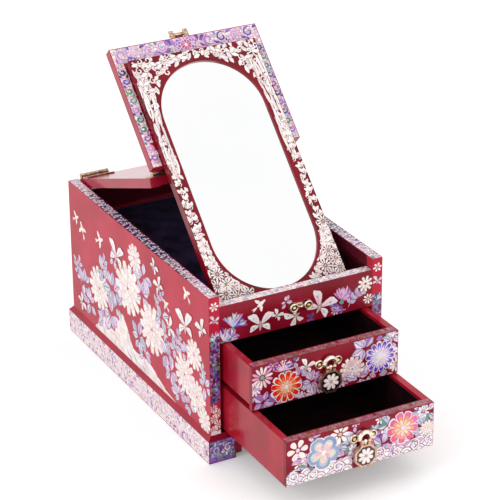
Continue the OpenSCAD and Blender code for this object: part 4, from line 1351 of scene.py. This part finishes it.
def arch(bm, x, y, z, reach, thick):
    across = Matrix.Translation(Vector((x + reach, y, z)) * MM)
    section = bmesh.ops.create_circle(bm, segments=16, radius=thick * MM, matrix=across)["verts"]
    rim = list({edge for vert in section for edge in vert.link_edges})
    bmesh.ops.spin(
        bm, geom=section + rim, cent=Vector((x, y, z)) * MM, axis=(0, -1, 0),
        angle=math.pi, steps=24,
    )
    open_edges = [edge for edge in bm.edges if edge.is_boundary]
    bmesh.ops.holes_fill(bm, edges=open_edges, sides=0)


def rosettes(name, body, spots):
    for part, profile, material in ROSETTE:
        bm = bmesh.new()
        for spot in spots:
            turned(bm, profile, spot)
        fitting(name + part, bm, material, body)


for level, face_y, rosette_z in PULLS:
    body, arch_y = level + "_drawer", face_y - ARCH_OUT
    bm = bmesh.new()
    arch(bm, PULL_X, arch_y, rosette_z, ARCH_REACH, ARCH_THICK)
    for side in (1, -1):
        foot = PULL_X + side * ARCH_REACH
        rod(bm, (foot, arch_y, rosette_z), (foot, face_y + 0.2, rosette_z), LEG_THICK)
        ball(bm, (foot, arch_y, rosette_z), ARCH_THICK)
    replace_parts(fitting(level + "_pull_arch", bm, pale_brass, body), level + "_bow")
    spots = [(PULL_X + side * ROSETTE_REACH, face_y, rosette_z) for side in (1, -1)]
    rosettes(level + "_pull", body, spots)
    pin_low, pin_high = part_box(level + "_pull_pin")
    pin = (pin_low + pin_high) / 2 / MM
    bm = bmesh.new()
    ball(bm, (PULL_X, pin.y, pin.z + 0.3), 1.9)
    rod(bm, (PULL_X, pin.y, pin.z), (PULL_X, pin.y + 0.4, pin.z - 3.4), 1.5)
    fitting(level + "_pull_neck", bm, pale_brass, level + "_pull")

# %% [markdown]
# ## Rosettes on the catch
# The plate of the catch keeps its own washers and nails. The same rings, the
# dark discs painted as shade in their hollows, and domes are laid over them.

# %% Catch rosettes
low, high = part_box("catch_plate")
catch_z, catch_x = (low.z + high.z) / 2 / MM, (low.x + high.x) / 2 / MM
spots = [(catch_x + side * CATCH_REACH, low.y / MM + 0.1, catch_z) for side in (1, -1)]
rosettes("catch", "carcass", spots)
print("catch centre: x %.1f z %.1f mm" % (catch_x, catch_z))

# %% [markdown]
# ## Linings
# The tray is lined with velvet, laid flat. In each drawer the felt covers the
# bottom and runs up the four walls, cut from one cross-shaped piece and folded
# at the corners. The cloth is 0.4 mm thick. It isn't quite flat:
# glue and grain leave low waves a few centimetres long.

# %% Linings
CLOTH_GAP, CLOTH_THICK = 0.0005, 0.0004


def lining(name, node, material, body, folded=False):
    low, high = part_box(node)
    width, length = high.x - low.x - 2 * CLOTH_GAP, high.y - low.y - 2 * CLOTH_GAP
    level = low.z + CLOTH_GAP if folded else high.z - CLOTH_GAP
    rise = high.z - level if folded else 0.0
    bm = bmesh.new()
    bmesh.ops.create_grid(bm, x_segments=30, y_segments=48, size=0.5)
    for vert in bm.verts:
        across, along = vert.co.x, vert.co.y
        x, y = (low.x + high.x) / 2 + across * width, (low.y + high.y) / 2 + along * length
        spot = Vector((x, y, 0))
        swell = 0.0 if vert.is_boundary else noise.noise(spot * 28) * 0.00012
        vert.co = (spot.x, spot.y, level + swell)
    if folded:
        fold = [edge for edge in bm.edges if edge.is_boundary]
        walls = bmesh.ops.extrude_edge_only(bm, edges=fold)["geom"]
        top = [part for part in walls if isinstance(part, bmesh.types.BMVert)]
        bmesh.ops.translate(bm, verts=top, vec=(0, 0, rise))
        bmesh.ops.bevel(bm, geom=fold, offset=0.0012, segments=3, affect="EDGES")
    bmesh.ops.solidify(bm, geom=list(bm.faces), thickness=-CLOTH_THICK)
    cloth = fitting(name, bm, material, body)
    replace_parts(cloth, node)


lining("tray_lining", "tray_velvet", blue_velvet, "carcass")
for level in ("upper", "lower"):
    lining(
        level + "_lining", level + "_felt", black_felt, level + "_drawer",
        folded=True,
    )

# %% [markdown]
# ## Studio
# The box stands in a white studio. The floor is white and takes the shadow.
# The world lights the box evenly, and shows as plain white to the camera and
# in reflections, which is how polished lacquer and the mirror are shown in a
# catalogue. A large soft lamp from the upper left models the forms, and a second
# one brightens the drawer fronts.

# %% Floor, world and lamps
bm = bmesh.new()
bmesh.ops.create_grid(bm, x_segments=1, y_segments=1, size=6.0)
ground = bpy.data.meshes.new("studio_floor")
bm.to_mesh(ground)
bm.free()
studio_floor = bpy.data.objects.new("studio_floor", ground)
bpy.context.collection.objects.link(studio_floor)


def seen(tree):
    path = add(tree, "ShaderNodeLightPath").outputs
    straight = calc(tree, "MAXIMUM", path["Is Camera Ray"], path["Is Glossy Ray"])
    return calc(tree, "MAXIMUM", straight, path["Is Transmission Ray"])


paper, tree = finish("white_paper")
glow = add(tree, "ShaderNodeEmission", {"Strength": mapped(tree, seen(tree), 0.0, 0.2)})
white = add(tree, "ShaderNodeBsdfDiffuse", {"Color": ink("#FAFAFA")})
show(tree, add(tree, "ShaderNodeAddShader", {0: white.outputs[0], 1: glow.outputs[0]}))
ground.materials.append(paper)

world = bpy.data.worlds.new("studio")
bpy.context.scene.world = world
world.use_nodes = True
tree = world.node_tree
tree.nodes.clear()
brightness = mapped(tree, seen(tree), 0.92, 1.0)
sky = add(tree, "ShaderNodeBackground", {"Color": ink("#FFFFFF"), "Strength": brightness})
out = add(tree, "ShaderNodeOutputWorld")
tree.links.new(sky.outputs[0], out.inputs["Surface"])


def lamp(name, at, aim, power, size):
    light = bpy.data.lights.new(name, "AREA")
    light.energy, light.size = power, size
    holder = bpy.data.objects.new(name, light)
    bpy.context.collection.objects.link(holder)
    holder.location = at
    holder.rotation_euler = (Vector(aim) - Vector(at)).to_track_quat("-Z", "Y").to_euler()
    print("lamp", name, power, "W")


lamp("key", (-1.7, -0.35, 1.3), (0, 0, 0.12), 7.0, 0.9)
lamp("fill", (0.7, -1.9, 0.75), (0, 0, 0.1), 8.0, 1.2)

# %% [markdown]
# ## Camera
# The camera stands 1.93 m away with a long lens, 28 degrees to the left of
# the front and 25 degrees up. These values were fitted to the corners of the
# box in the photograph.

# %% Camera
aim, distance = Vector((0.00299, 0.00118, 0.14538)), 1.926
turn, rise, roll = math.radians(-28.065), math.radians(24.951), math.radians(-0.466)
back = Vector(
    (math.sin(turn) * math.cos(rise), -math.cos(turn) * math.cos(rise), math.sin(rise))
)
view = bpy.data.cameras.new("camera")
view.lens, view.sensor_width = 156.26, 36.0
camera = bpy.data.objects.new("camera", view)
bpy.context.collection.objects.link(camera)
camera.location = aim + back * distance
look = back.to_track_quat("Z", "Y") @ Matrix.Rotation(roll, 3, "Z").to_quaternion()
camera.rotation_euler = look.to_euler()
bpy.context.scene.camera = camera
bpy.context.scene.view_settings.view_transform = "Standard"
print("camera at", [round(v, 3) for v in camera.location])
